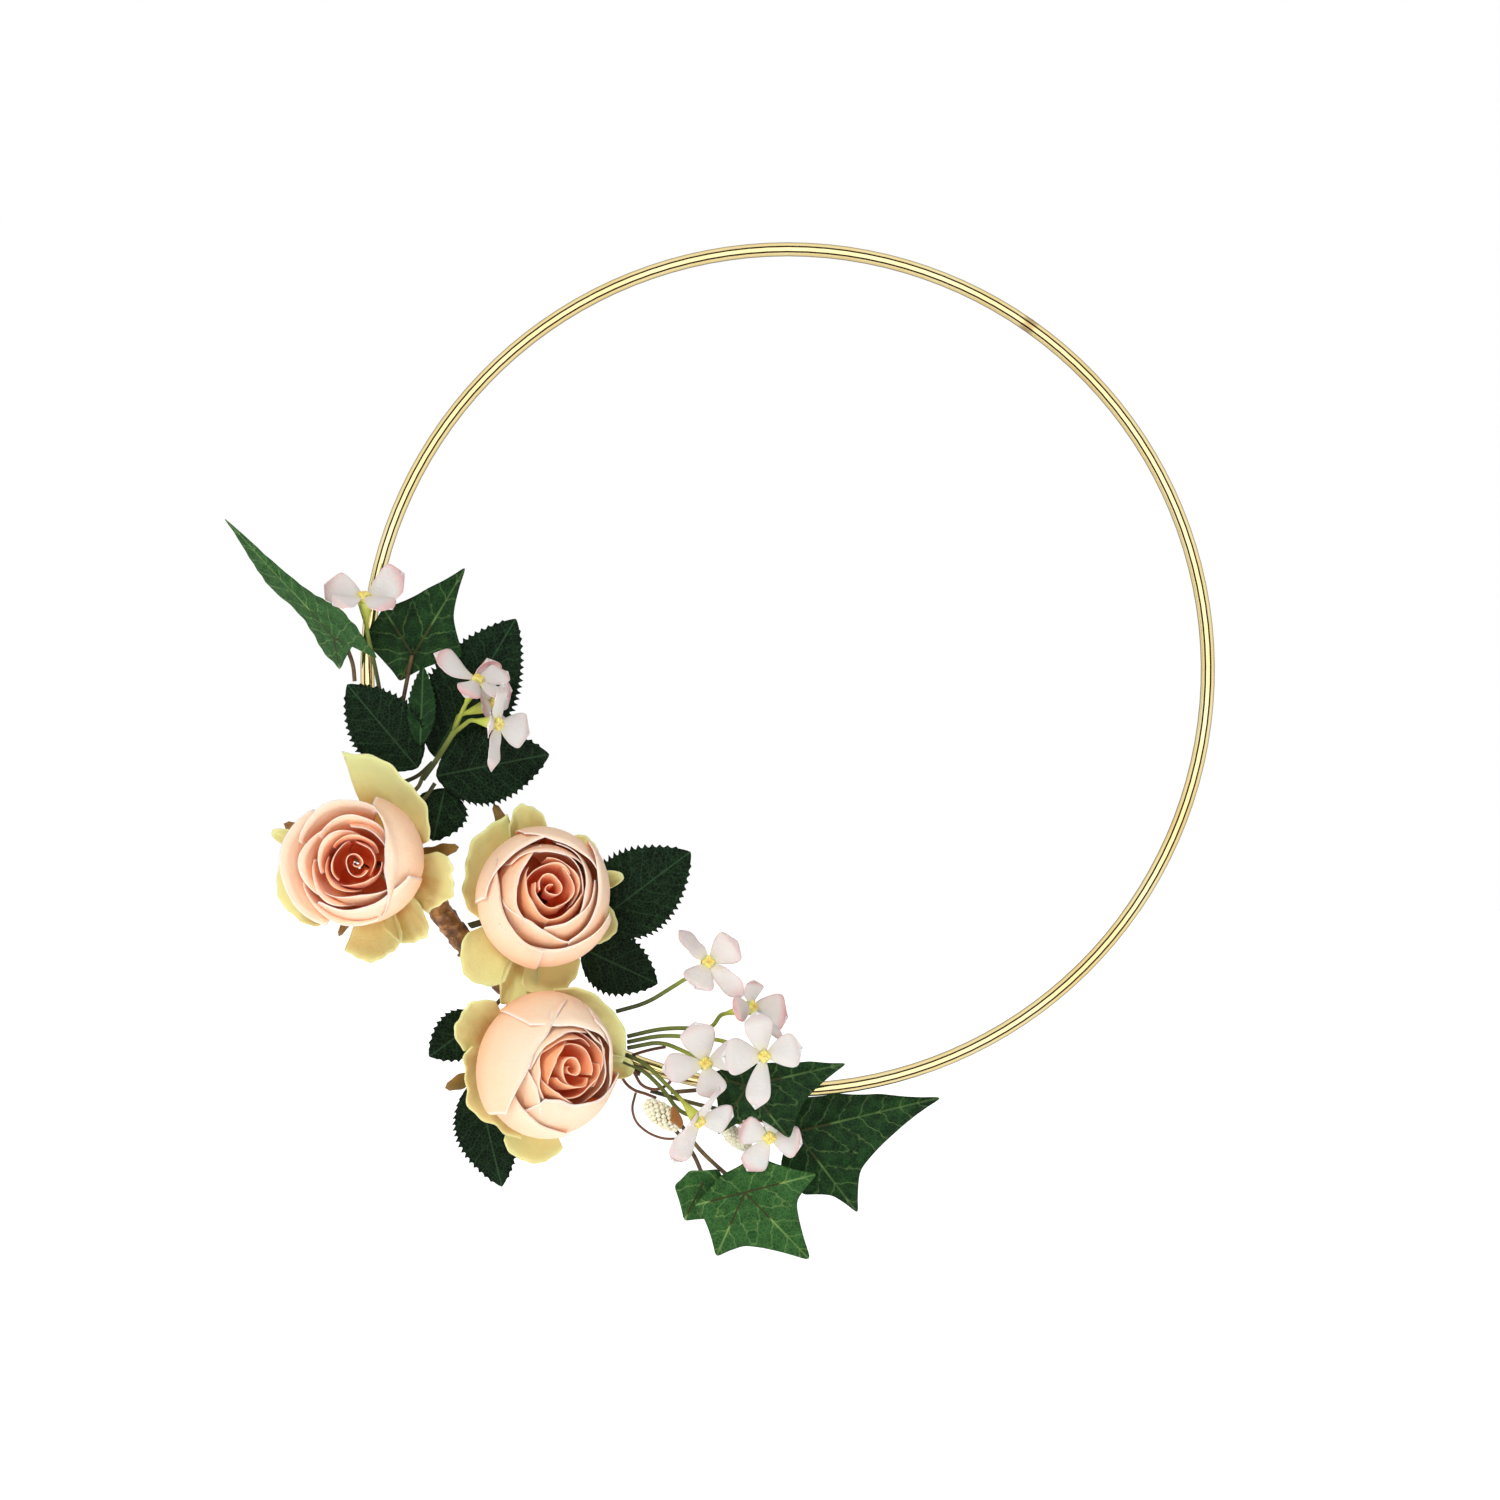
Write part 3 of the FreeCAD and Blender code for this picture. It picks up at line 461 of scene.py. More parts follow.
# lean moves the heart and stretch widens the bloom, along its right and up. Petals are (angle, spread,
# bulge, rim, lip, drop, point): bulge is their greatest radius, rim the radius of their edge, lip how
# far it rolls out and drop how much shorter their sides are. Guards are (angle, spread, reach, lift,
# drop, ruffle, slant) and sepals (angle, reach, width), as seen from the front round the bloom's middle.
ROSES = {
    "rose_left": {
        "lean": (8, -0.5), "stretch": (1.08, 0.93), "turn": 200, "seed": 3,
        "outer": (
            (188, 120, 20, 27.4, 0.8, 0.16, 2.6), (248, 92, 20, 22.6, 0.8, 0.2, 2),
            (114, 92, 18, 24, 0.8, 0.2, 2.4), (288, 118, 23.6, 16, 0.9, 0.24, 2),
            (6, 138, 24.6, 9, 3, 0.34, 2.4)),
        "inner": (
            (170, 118, 14, 20, 0.8, 0.34, 1.5), (226, 100, 14, 17.6, 0.7, 0.36, 1.3),
            (88, 112, 13, 18, 0.8, 0.32, 1.5), (284, 118, 16.5, 12, 1.2, 0.34, 1.4),
            (40, 118, 15, 11, 0.8, 0.3, 1.5), (140, 118, 10, 14.4, 0.8, 0.36, 1.3)),
        "heart": (
            (226, 118, 10, 11.4, 0.7, 0.36, 1.15), (84, 120, 8.6, 10.4, 0.6, 0.32, 1.3),
            (300, 125, 10, 7.2, 0.6, 0.36, 1.15), (166, 124, 8, 8.6, 0.6, 0.34, 1.2),
            (24, 130, 8, 5.8, 0.5, 0.34, 1.15)),
        "guards": (
            (55, 80, 35.6, 7, 0.02, 0.8, 0.13), (347, 40, 38, 3.5, 0.16, 1, 0),
            (314, 34, 37.5, 2.6, 0.3, 0.7, 0), (286, 42, 36, 2.6, 0.14, 0.5, 0),
            (210, 66, 29.5, 4.5, 0.14, 0.4, 0), (161, 22, 31.5, 2.6, 0.55, 0.2, 0),
            (134, 26, 23.5, 2.6, 0.2, 0.3, 0)),
        "sepals": ((153, 29, 5.6), (8, 38.5, 5), (259, 27, 3.6), (60, 20, 4), (330, 20, 4)),
    },
    "rose_centre": {
        "lean": (2.2, 2), "stretch": (0.96, 1), "turn": 65, "seed": 11,
        "outer": (
            (350, 118, 24, 17, 1, 0.2, 2.2), (62, 104, 23.6, 16, 1, 0.2, 2),
            (276, 128, 25, 20.6, 1, 0.08, 2.6), (132, 108, 23.8, 17.5, 1.2, 0.2, 2),
            (206, 116, 24.8, 17, 3, 0.2, 2.2)),
        "inner": (
            (20, 122, 17.8, 12.6, 0.8, 0.2, 2), (316, 112, 18.6, 12.4, 0.8, 0.24, 1.5),
            (88, 120, 17.6, 12.4, 0.7, 0.2, 1.8), (240, 108, 19.6, 13.4, 0.9, 0.28, 1.3),
            (166, 132, 18.6, 11.4, 1.2, 0.24, 1.9), (50, 118, 14.5, 11.2, 0.7, 0.2, 1.7)),
        "heart": (
            (300, 118, 12.6, 9.2, 0.7, 0.28, 1.1), (200, 130, 12, 8.6, 0.6, 0.26, 1.3),
            (30, 140, 10, 9.4, 0.5, 0.2, 1.8), (100, 130, 8.6, 8.2, 0.5, 0.2, 1.6),
            (350, 140, 7.8, 7.2, 0.5, 0.2, 1.4), (230, 135, 7.6, 6, 0.5, 0.24, 1.1)),
        "guards": (
            (103, 34, 33, 6, 0.3, 0.6, 0), (158, 88, 30, 4.5, 0.06, 0.8, -0.13),
            (226, 40, 39, 2.6, 0.2, 0.4, 0.05), (254, 26, 41, 2.6, 0.25, 1, 0),
            (278, 44, 35.5, 4.5, 0.2, 0.6, -0.1), (14, 24, 29, 2.6, 0.5, 0.2, 0),
            (333, 38, 28.5, 2.6, 0.2, 0.3, 0), (50, 40, 26, 2.6, 0.2, 0.3, 0)),
        "sepals": ((119, 37, 4.6), (40, 20, 4), (330, 20, 4), (255, 20, 4), (180, 20, 4)),
    },
    "rose_lower": {
        "lean": (5.2, 1.2), "stretch": (0.98, 1.06), "turn": 130, "seed": 23,
        "outer": (
            (14, 92, 22.8, 15, 0.9, 0.2, 2), (76, 118, 24.4, 13, 1, 0.26, 2.2),
            (236, 92, 24.2, 19, 1.4, 0.2, 1.8), (290, 128, 24.6, 11.5, 1, 0.26, 2.4),
            (152, 132, 25, 14, 2, 0.3, 2.4)),
        "inner": (
            (200, 86, 18.8, 13.4, 0.6, 0.3, 1.1), (350, 106, 16.4, 11.5, 0.6, 0.24, 1.3),
            (48, 90, 16.4, 12.4, 0.6, 0.32, 1.05), (258, 90, 17.5, 12.4, 0.6, 0.3, 1.1),
            (120, 120, 17, 11.4, 0.7, 0.22, 1.6), (180, 100, 14.5, 11.6, 0.6, 0.26, 1.2)),
        "heart": (
            (20, 110, 13.2, 10.4, 0.5, 0.26, 1.1), (100, 110, 12.6, 9.4, 0.5, 0.24, 1.2),
            (230, 100, 12, 9.4, 0.5, 0.3, 1.05), (310, 115, 11, 8.4, 0.5, 0.24, 1.2),
            (160, 125, 9.6, 7.6, 0.5, 0.26, 1.1), (50, 135, 8.4, 6.6, 0.5, 0.24, 1.1),
            (270, 130, 7.6, 5.8, 0.5, 0.24, 1.1)),
        "guards": (
            (148, 42, 35, 3, 0.16, 0.5, 0), (208, 88, 29.5, 4, 0.1, 1.1, 0),
            (261, 40, 35.5, 2.6, 0.14, 0.3, 0), (42, 82, 30.6, 9, 0.1, 0.4, 0),
            (357, 30, 31.5, 9, 0.5, 0.3, 0)),
        "sepals": ((192.6, 36, 5.6), (100, 20, 4), (30, 9, 3), (320, 9, 3), (250, 20, 4)),
    },
}


class RoseFrame:
    """A rose's own axes: right and up as seen from the front, and out up the bloom, from its CAD petals."""

    def __init__(self, name, lean, stretch):
        centre, axes, _ = node_axes(name + "_outer_petals")
        self.out = axes[2]
        top = ((node_points(name + "_outer_petals") - centre) @ self.out).max()
        self.base = centre + self.out * (top - BLOOM_TOP * MM)
        self.right, self.up = facing(self.out)
        self.lean, self.stretch = lean, stretch

    def world(self, right, up, out):
        """Points in metres from distances in mm along the rose's axes."""
        return placed(self.base, (right, up, out), (self.right, self.up, self.out))

    def bloom(self, radius, angle, height):
        """Points of the bloom from polar places in mm, with its lean and stretch."""
        share = np.clip(height / BLOOM_TOP, 0, 1.2) ** 2
        across = radius * np.cos(angle) * self.stretch[0] + self.lean[0] * share
        upward = radius * np.sin(angle) * self.stretch[1] + self.lean[1] * share
        return self.world(across, upward, height)

    def seen_at(self, angle, reach, height):
        """Distances along right and up, in mm, of a point at height that the front view shows at reach."""
        behind = BLOOM_MIDDLE - height
        seen_x = reach * np.cos(angle) + behind * self.out[0]
        seen_z = reach * np.sin(angle) + behind * self.out[2]
        solve = np.linalg.inv([[self.right[0], self.up[0]], [self.right[2], self.up[2]]])
        return solve[0, 0] * seen_x + solve[0, 1] * seen_z, solve[1, 0] * seen_x + solve[1, 1] * seen_z


def edge_closeness(u, v, side=0.05, top=0.05):
    """1 on a petal's edge, falling to 0 a little way in."""
    beside = smooth_step(np.abs(u), 1 - side * 2, 1) * smooth_step(v, 0.4, 0.7)
    return np.maximum(smooth_step(v, 1 - top * 2, 1), beside)


def petal_profile(bulge, rim):
    """Radius and height of a petal from its foot to its rim: out to its bulge and back over the dome."""
    foot = 13.5 - 0.53 * bulge
    rise = DOME_TOP - rim**2 / DOME_FALL - foot
    turn_in = bulge - rim
    return ((0.22 * bulge, foot), (0.7 * bulge, foot + 0.08 * rise), (0.94 * bulge, foot + 0.28 * rise),
            (bulge, foot + 0.5 * rise), (bulge - 0.22 * turn_in, foot + 0.74 * rise),
            (bulge - 0.6 * turn_in, foot + 0.92 * rise), (rim, foot + rise))


def add_petal(sheets, rose, petal, rng, rows=26, columns=36):
    """A cupped petal that overlaps its neighbours: its right edge lies inside and its left edge outside."""
    angle, spread, bulge, rim, lip, drop, point = petal
    u = np.linspace(-1, 1, columns)[None, :]
    v = np.linspace(0, 1, rows)[:, None]
    peak = rng.uniform(-0.25, 0.25)
    phase, wave = rng.uniform(0, 6), rng.uniform(3.0, 4.5)
    length = 1 - drop * (np.abs(u - peak) / (1 + abs(peak))) ** point + 0.01 * np.sin(u * 8 + phase)
    curve = along_curve(petal_profile(bulge, rim), v * length)
    width = 0.5 + 0.5 * smooth_step(v, 0.0, 0.55)
    turn = np.radians(angle + u * spread / 2 * width)
    roll = smooth_step(v, 0.86, 1.0) * lip * (0.7 + 0.3 * np.sin(u * 2.5 + phase))
    radius = curve[..., 0] + roll + 0.05 * bulge * u * smooth_step(v, 0.0, 0.5)
    radius = radius + 0.35 * np.sin(u * wave + phase) * v**3
    height = curve[..., 1] + 0.5 * lip * np.sin(np.pi * smooth_step(v, 0.8, 1.0)) - 0.15 * roll
    height = height + 0.3 * np.sin(u * wave * 1.4 + phase) * v**2
    grid = rose.bloom(radius, turn, height)
    sheets.add(grid, stacked(v * length, edge_closeness(u, v), rng.random()))


def make_bloom(rose, name, settings):
    """The petals from the outermost whorl to the heart, which ends in a tight spiral."""
    rng = random.Random(settings["seed"])
    for whorl, node in (("outer", "_outer_petals"), ("inner", "_inner_petals"), ("heart", "_core")):
        sheets = Sheets()
        for petal in settings[whorl]:
            add_petal(sheets, rose, petal, rng)
        if whorl == "heart":
            turns = np.linspace(0, 1, 90)[None, :]
            v = np.linspace(0, 1, 14)[:, None]
            angle = np.radians(settings["turn"]) + turns * 2 * np.pi * HEART_TURNS
            radius = 0.3 + 4.4 * turns + (v - 0.4) * (1.2 - 0.4 * turns) + 0.7 * turns * np.sin(angle * 2.4)
            height = 13 + v * (12.2 + 1.4 * turns + 0.5 * np.sin(angle * 1.7))
            sheets.add(rose.bloom(radius, angle, height), stacked(v * 0.96, smooth_step(v, 0.9, 1), 0.7))
        sheets.finish(f"{name}_{whorl}_satin", "rose_" + whorl, name + node, PETAL_THICKNESS)


def make_guards(rose, name, settings):
    """Yellow-green petals that stand out from under the bloom."""
    sheets = Sheets()
    rng = random.Random(settings["seed"] + 3)
    u = np.linspace(-1, 1, 40)[None, :]
    v = np.linspace(0, 1, 20)[:, None]
    for index, (angle, spread, reach, lift, drop, ruffle, slant) in enumerate(settings["guards"]):
        phase = rng.uniform(0, 6)
        edge = reach * (1 + slant * u) * (1 - drop * np.abs(u) ** 2.2)
        edge = edge + ruffle * 0.8 * np.sin(u * 7 + phase) + ruffle * 0.4 * np.sin(u * 17 + phase * 2)
        rim_height = lift + ruffle * 1.1 * np.sin(u * 6 + phase + 1)
        turn = np.radians(angle + u * spread / 2)
        right, up = rose.seen_at(turn + 0 * v, edge, rim_height)
        narrow = 0.6 + 0.4 * smooth_step(v, 0.1, 0.7)
        middle = np.radians(angle)
        share = 0.16 + 0.84 * v
        along, aside = turned(right, up, -middle)
        right, up = turned(along * share, aside * share * narrow, middle)
        cup = 1.6 * np.sin(np.pi * v) * (1 - u**2) - 0.9 * smooth_step(v, 0.8, 1.0)
        height = -2.2 + (rim_height + 2.2) * v**1.3 - cup - index * 0.12
        grid = rose.world(right, up, height)
        sheets.add(grid, stacked(v * (1 - 0.12 * np.abs(u)), edge_closeness(u, v, 0.03, 0.03), rng.random()))
    sheets.finish(name + "_guard_satin", "rose_guard", name + "_guard_petals", PETAL_THICKNESS)


def make_calyx(rose, name, settings):
    """Moulded cup and its pointed sepals, which curl towards their brown tips."""
    sheets = Sheets()
    rng = random.Random(settings["seed"] + 4)
    ring = np.linspace(0, 2 * np.pi, 33)[None, :-1]
    cup = along_curve(CUP_PROFILE, np.linspace(0, 1, 18))
    radius = cup[:, 0][:, None] * (1 + 0.06 * np.cos(ring * 5))
    height = cup[:, 1][:, None] + 0 * ring
    sheets.add(rose.world(*turned(radius, 0, ring), height), wrap=True, caps="first")
    u = np.linspace(-1, 1, 9)[None, :]
    v = np.linspace(0, 1, 26)[:, None]
    for angle, reach, width in settings["sepals"]:
        right, up = rose.seen_at(np.radians(angle) + 0 * u * v, reach, SEPAL_HEIGHT)
        length = np.hypot(right, up) * (0.12 + 0.88 * v)
        way = np.arctan2(up, right)
        half = width / 2 * (0.5 + 0.7 * v) * np.sqrt(1 - v**6) * (1 + 0.12 * np.sin(v * 26))
        bend = rng.uniform(0.6, 1.6)
        height = -3.9 - 0.5 * np.abs(u) + bend * v**2 + 0.4 * np.sin(v * 8)
        sheets.add(rose.world(*turned(length, u * half, way), height))
    sheets.finish(name + "_calyx_moulded", "rose_calyx", name + "_calyx", CALYX_THICKNESS)


def make_roses():
    for name, settings in ROSES.items():
        rose = RoseFrame(name, settings["lean"], settings["stretch"])
        make_bloom(rose, name, settings)
        make_guards(rose, name, settings)
        make_calyx(rose, name, settings)


# ---- rose leaves ----
# droop bends the tip back in mm and fold lifts the two halves, as a slope
ROSE_LEAVES = {
    "rose_leaf_1": (1.5, 0.1), "rose_leaf_2": (1.0, 0.1), "rose_leaf_3": (0.8, 0.16),
    "rose_leaf_4": (1.2, 0.08), "rose_leaf_5": (0.6, 0.08), "rose_leaf_6": (1.8, 0.1),
    "rose_leaf_7": (1.2, 0.1), "rose_leaf_8": (1.0, 0.14), "rose_leaf_9": (1.4, 0.12),
}
PALE_LEAF = "rose_leaf_3"
TOOTH_PITCH = 2.1  # in mm
TOOTH_SHAPE = (0.0, 0.45, 1.0, 0.15)


def make_rose_leaf(node, droop, fold):
    """Pointed blade with a toothed edge, a fold at its midrib and quilted side veins."""
    centre, axes, skew = node_axes(node)
    longer = 0 if abs(skew[0]) > abs(skew[1]) else 1
    along = axes[longer] * np.sign(skew[longer])
    normal = axes[2]
    side = np.cross(normal, along)
    corners = (node_points(node) - centre) / MM
    foot = centre + along * (corners @ along).min() * MM
    length = np.ptp(corners @ along)
    half = np.ptp(corners @ side) / 2
    rng = random.Random(node)
    teeth = max(7, round(length / TOOTH_PITCH))
    t = np.linspace(0, 1, teeth * len(TOOTH_SHAPE) + 1)[:, None]
    u = np.linspace(-1, 1, 21)[None, :]
    outline = np.sin(np.pi * t**0.82) ** 0.78
    tooth = np.array([TOOTH_SHAPE[i % len(TOOTH_SHAPE)] for i in range(t.shape[0])])[:, None]
    edge = smooth_step(np.abs(u), 0.75, 1.0) * (outline > 0.2)
    toothed = tooth * edge
    x = t * length + 0.5 * toothed
    y = u * half * outline * (1 + (toothed - 0.35 * edge) * 0.12)
    quilt = 0.22 * np.cos((x - np.abs(y) * VEIN_SLANT) / ROSE_VEIN_PITCH * 2 * np.pi)
    quilt = quilt * smooth_step(np.abs(u), 0.1, 0.5)
    z = fold * np.abs(y) - droop * (t - 0.4) ** 2 * 3 + quilt * (1 - t) + 0.5 * np.sin(t * 7 + u * 2) * u**2
    z = z - (fold * half * 0.4) + 0.25
    sheets = Sheets()
    sheets.add(placed(foot, (x, y, z), (along, side, normal)), stacked(x, np.abs(y), rng.random()))
    look = "rose_leaf_mid" if node == PALE_LEAF else "rose_leaf"
    sheets.finish(node + "_cloth", "rose_leaf", node, ROSE_LEAF_THICKNESS, look)


# ---- ivy ----
# cup, in mm, by which the lobes bend forward, the print and the stalk
IVY_LEAVES = {
    "ivy_leaf_a": (1.5, "ivy_brown_rib", "ivy_petiole_a"), "ivy_leaf_b": (1.6, "ivy_leaf", "ivy_petiole_b"),
    "ivy_leaf_c": (1.2, "ivy_leaf", "ivy_petioles_lower"), "ivy_leaf_d": (1.8, "ivy_leaf", "ivy_petiole_d"),
    "ivy_leaf_e": (1.6, "ivy_brown_rib", "ivy_petiole_e"),
    "ivy_leaf_f": (0.8, "ivy_brown_rib", "ivy_petioles_lower"),
}
EDGE_BOW = -0.12  # how far the edges between corners bend inward, in shares of their length
EDGE_STEPS = 12  # points on each of these edges
EDGE_SMOOTHING = 3  # rounds of smoothing that blunt the corners


def front_rim(node, normal):
    """Corners of a plate's front face, in order round it."""
    corners = {}
    uses = {}
    for triangle in node_triangles(node):
        faced = np.cross(triangle[1] - triangle[0], triangle[2] - triangle[0])
        if faced @ normal <= 0.9 * np.linalg.norm(faced):
            continue
        keys = [tuple(np.round(p / MM, 2)) for p in triangle]
        corners.update(zip(keys, triangle))
        for a, b in zip(keys, keys[1:] + keys[:1]):
            uses[(a, b)] = uses.get((a, b), 0) + 1
    after = {a: b for a, b in uses if (b, a) not in uses}
    start = next(iter(after))
    loop = [start]
    while after[loop[-1]] != start:
        loop.append(after[loop[-1]])
    return np.array([corners[key] for key in loop])


def make_ivy_leaf(node, cup, look, petiole):
    """Lobed blade with raised ribs from its foot to each lobe's tip."""
    centre, axes, _ = node_axes(node)
    normal = axes[2]
    rim = front_rim(node, normal)
    stalk = node_points(petiole)
    foot = stalk[np.argmin(np.linalg.norm(stalk - centre, axis=1))]
    foot = foot + normal * ((rim[0] - foot) @ normal)
    right, up = facing(normal)
    flat = np.stack([(rim - foot) @ right, (rim - foot) @ up], axis=1) / MM
    count = len(flat)
    distance = np.linalg.norm(flat, axis=1)
    tips = (distance > np.roll(distance, 1)) & (distance > np.roll(distance, -1))
    share = np.linspace(0, 1, EDGE_STEPS, endpoint=False)[:, None]
    edge = []
    for i in range(count):
        side = flat[(i + 1) % count] - flat[i]
        outward = np.array([side[1], -side[0]])
        edge.extend(flat[i] + side * share + outward * EDGE_BOW * share * (1 - share))
    edge = np.array(edge)
    for _ in range(EDGE_SMOOTHING):
        edge = (np.roll(edge, 1, 0) + 2 * edge + np.roll(edge, -1, 0)) / 4
    v = np.linspace(0.02, 1, 22)[:, None, None]
    plane = edge[None] * v
    ribs = flat[tips] / distance[tips][:, None]
    run = np.einsum("ijk,rk->ijr", plane, ribs)
    away = np.abs(plane[..., 0, None] * ribs[:, 1] - plane[..., 1, None] * ribs[:, 0])
    away = np.where(run > 0, away, np.linalg.norm(plane, axis=2)[..., None])
    nearest = np.argmin(away, axis=2)
    near_away, near_run = (np.take_along_axis(a, nearest[..., None], 2)[..., 0] for a in (away, run))
    reach = np.linalg.norm(plane, axis=2) / distance.max()
    wander = np.array([[noise.noise(Vector((x * 0.06, y * 0.06, cup))) for x, y in row] for row in plane])
    z = cup * reach**2 - 0.06 * near_away + 0.28 * np.exp(-((near_away / 0.8) ** 2)) + 1.5 * wander * reach
    quilt = 0.18 * np.cos((near_run - near_away * VEIN_SLANT) / IVY_VEIN_PITCH * 2 * np.pi)
    z = z + quilt * smooth_step(near_away, 0.5, 3)
    points = placed(foot, (plane[..., 0], plane[..., 1], z), (right, up, normal))
    sheets = Sheets()
    sheets.add(points, stacked(near_run, near_away, 0.3 + 0.4 * (node[-1] in "bd")), wrap=True, caps="first")
    sheets.finish(node + "_cloth", "ivy_leaf", node, IVY_THICKNESS, look)


# ---- blossoms ----
# pinkness and the sprig of each blossom, and its petals as (angle, length, lift, twist, girth): angle
# from its right, lift of the tip along its axis and twist about the petal's own length, in degrees
BLOSSOMS = {
    "blossom_top": (0.9, "sprig_top", (
        (40, 17, 5, 50, 1.05), (148, 19, 1.5, -42, 0.95), (222, 13, 2, -10, 0.9), (318, 16, 1, 8, 0.85))),
    "blossom_upper_1": (0.9, "sprig_upper", (
        (12, 14, 3, 0, 0.9), (140, 18, 4, -14, 0.85), (222, 14, 1.5, 0, 0.85), (300, 13, 1.5, 0, 0.85))),
    "blossom_upper_2": (1.3, "sprig_upper", (
        (20, 12, 4, 20, 1), (98, 16, 5, -10, 1.4), (190, 12, 3, 0, 1), (280, 12, 4, 0, 1))),
    "blossom_upper_3": (0.4, "sprig_upper", (
        (348, 15.5, 2, 0, 1.1), (92, 14.5, 3, 26, 0.95), (180, 11, 7, 0, 0.9), (262, 17, 2, -24, 0.9))),
    "blossom_inner": (0.5, "sprig_inner", (
        (34, 12.8, 3, 0, 1.15), (132, 15.5, 1, 45, 0.9), (240, 11.5, 3, 0, 1.15),
        (314, 17.5, 0.5, 50, 0.8))),
    "blossom_lower_1": (0.9, "sprig_lower", (
        (342, 16, 5, 12, 1.3), (85, 9.5, 4, 0, 1.1), (182, 12, 1, 0, 0.9), (306, 17.5, 6, -26, 0.9))),
    "blossom_lower_2": (0.4, "sprig_lower", (
        (16, 14.5, 2, 0, 1), (106, 15, 3, 0, 1.1), (190, 15.5, 3, 0, 0.95), (284, 13, 1.5, 0, 1))),
    "blossom_lower_3": (0.35, "sprig_lower", (
        (12, 14, 2.5, 0, 1.1), (101, 16, 2.5, 0, 0.9), (180, 15.5, 2.5, 0, 1.15), (260, 19, 1, 25, 0.75))),
    "blossom_lower_4": (0.4, "sprig_lower", (
        (6, 14.5, 2, 0, 1.1), (80, 15.5, 1, 30, 0.85), (168, 9, 5, 0, 1), (246, 17.5, 4, 0, 1.05))),
    "blossom_lower_5": (1, "sprig_lower", (
        (350, 12, 1.5, 0, 1.1), (75, 12, 1.5, 0, 1), (160, 12, 1.5, 0, 1), (238, 14.5, 0.5, 0, 0.9))),
}
CAD_PETAL = 0.7  # thickness of a CAD petal, in mm
PETAL_FOOT = 1.4  # distance of a petal's foot from the blossom's axis, in mm
EYE_PROFILE = ((1.7, -0.9), (2.1, 0.3), (1.9, 1.2), (1.2, 1.6), (0.25, 1.3))  # radius and height, in mm


def blossom_frame(node, sprig):
    """Foot of a blossom's petals in metres and its outward direction, away from its stem."""
    centre, axes, _ = node_axes(node)
    out = axes[2]
    stem = node_points(sprig)
    close = stem[np.linalg.norm(stem - centre, axis=1) < 10 * MM]
    if (centre - close.mean(0)) @ out < 0:
        out = -out
    return centre + out * (((node_points(node) - centre) @ out).min() + CAD_PETAL * MM), out


def make_blossom(node, pink, sprig, petals):
    """Four curved petals and the yellow eye in their middle."""
    middle, out = blossom_frame(node, sprig)
    right, up = facing(out)
    rng = random.Random(node)
    sheets = Sheets()
    u = np.linspace(-1, 1, 19)[None, :]
    t = np.sin(np.linspace(0, np.pi / 2, 26))[:, None]
    for order, (angle, length, lift, twist, girth) in enumerate(petals):
        way, side = turned(right, up, -math.radians(angle))
        tilt = np.radians(twist) * smooth_step(t, 0.05, 0.5)
        half = 6.3 * girth * (length / 15) ** 0.3
        outline = 1.16 * t**0.8 * np.sqrt(np.clip(1 - t**3.6, 0, 1))
        x = PETAL_FOOT + (length - PETAL_FOOT) * t * (1 - 0.1 * u**2 * t)
        aside = u * half * (0.17 * np.sqrt(1 - t**6 * 0.999) + outline)
        bow = rng.uniform(0.8, 1.8)
        rise = lift * t**1.5 + bow * (0.35 - u**2) * np.sin(np.pi * t**0.8) * 0.8
        rise = rise + 0.3 * np.sin(u * 2 + t * 3 + bow * 5) * t + 0.12 * order
        rise = rise - rng.uniform(0.6, 1.8) * smooth_step(t, 0.72, 1.0)
        points = placed(middle, (x, aside * np.cos(tilt), aside * np.sin(tilt) + rise), (way, side, out))
        blotch = rng.uniform(0.5, 1.1)
        tint = pink * blotch * (smooth_step(t, 0.6, 1.0) + 0.5 * smooth_step(np.abs(u), 0.7, 1.0) * t) * 2.0
        sheets.add(points, stacked(t, edge_closeness(u, t, 0.04, 0.03), tint))
    sheets.finish(node + "_satin", "blossom_petal", node, BLOSSOM_THICKNESS)
    eye = Sheets()
    ring = np.linspace(0, 2 * np.pi, 41)[None, :-1]
    dome = along_curve(EYE_PROFILE, np.linspace(0, 1, 14))
    radius = dome[:, 0][:, None] * (1 + 0.16 * np.cos(ring * 4) + 0.05 * np.cos(ring * 11))
    height = dome[:, 1][:, None] + 0.14 * np.sin(ring * 7)
    points = placed(middle, (*turned(radius, 0, ring), height), (right, up, out))
    eye.add(points[::-1], wrap=True, caps="first last")
    eye.finish(node + "_eye", "blossom_stem", node, look="blossom_eye", hides=False)


def sprig_finish(sprig):
    """Bright tube under each blossom that darkens to olive along the stem."""
    finish = Finish(sprig + "_moulded", 0.42, Subsurface_Weight=0.1, Subsurface_Scale=0.002)
    vector = finish.place()
    nearest = None
    for node, (_, owner, _) in BLOSSOMS.items():
        if owner == sprig:
            spot, _ = blossom_frame(node, sprig)
            gap = finish.distance(vector, spot)
            nearest = gap if nearest is None else finish.math("MINIMUM", nearest, gap)
    share = finish.math("DIVIDE", nearest, 40 * MM)
    wander = finish.times(finish.math("SUBTRACT", finish.noise(vector, 180.0), 0.5), 0.15)
    stops = ((0.0, (0.66, 0.7, 0.16)), (0.22, (0.46, 0.52, 0.07)), (0.42, (0.17, 0.21, 0.03)),
             (0.75, (0.045, 0.06, 0.014)), (1.0, (0.02, 0.028, 0.01)))
    colour = finish.ramp(finish.math("ADD", share, wander), *stops)
    fine = finish.noise(vector, 1500.0, 3.0)
    return finish.done(colour, finish.bump(fine, 0.0002, 0.5), finish.window(fine, 0.3, 0.7, 0.34, 0.56))


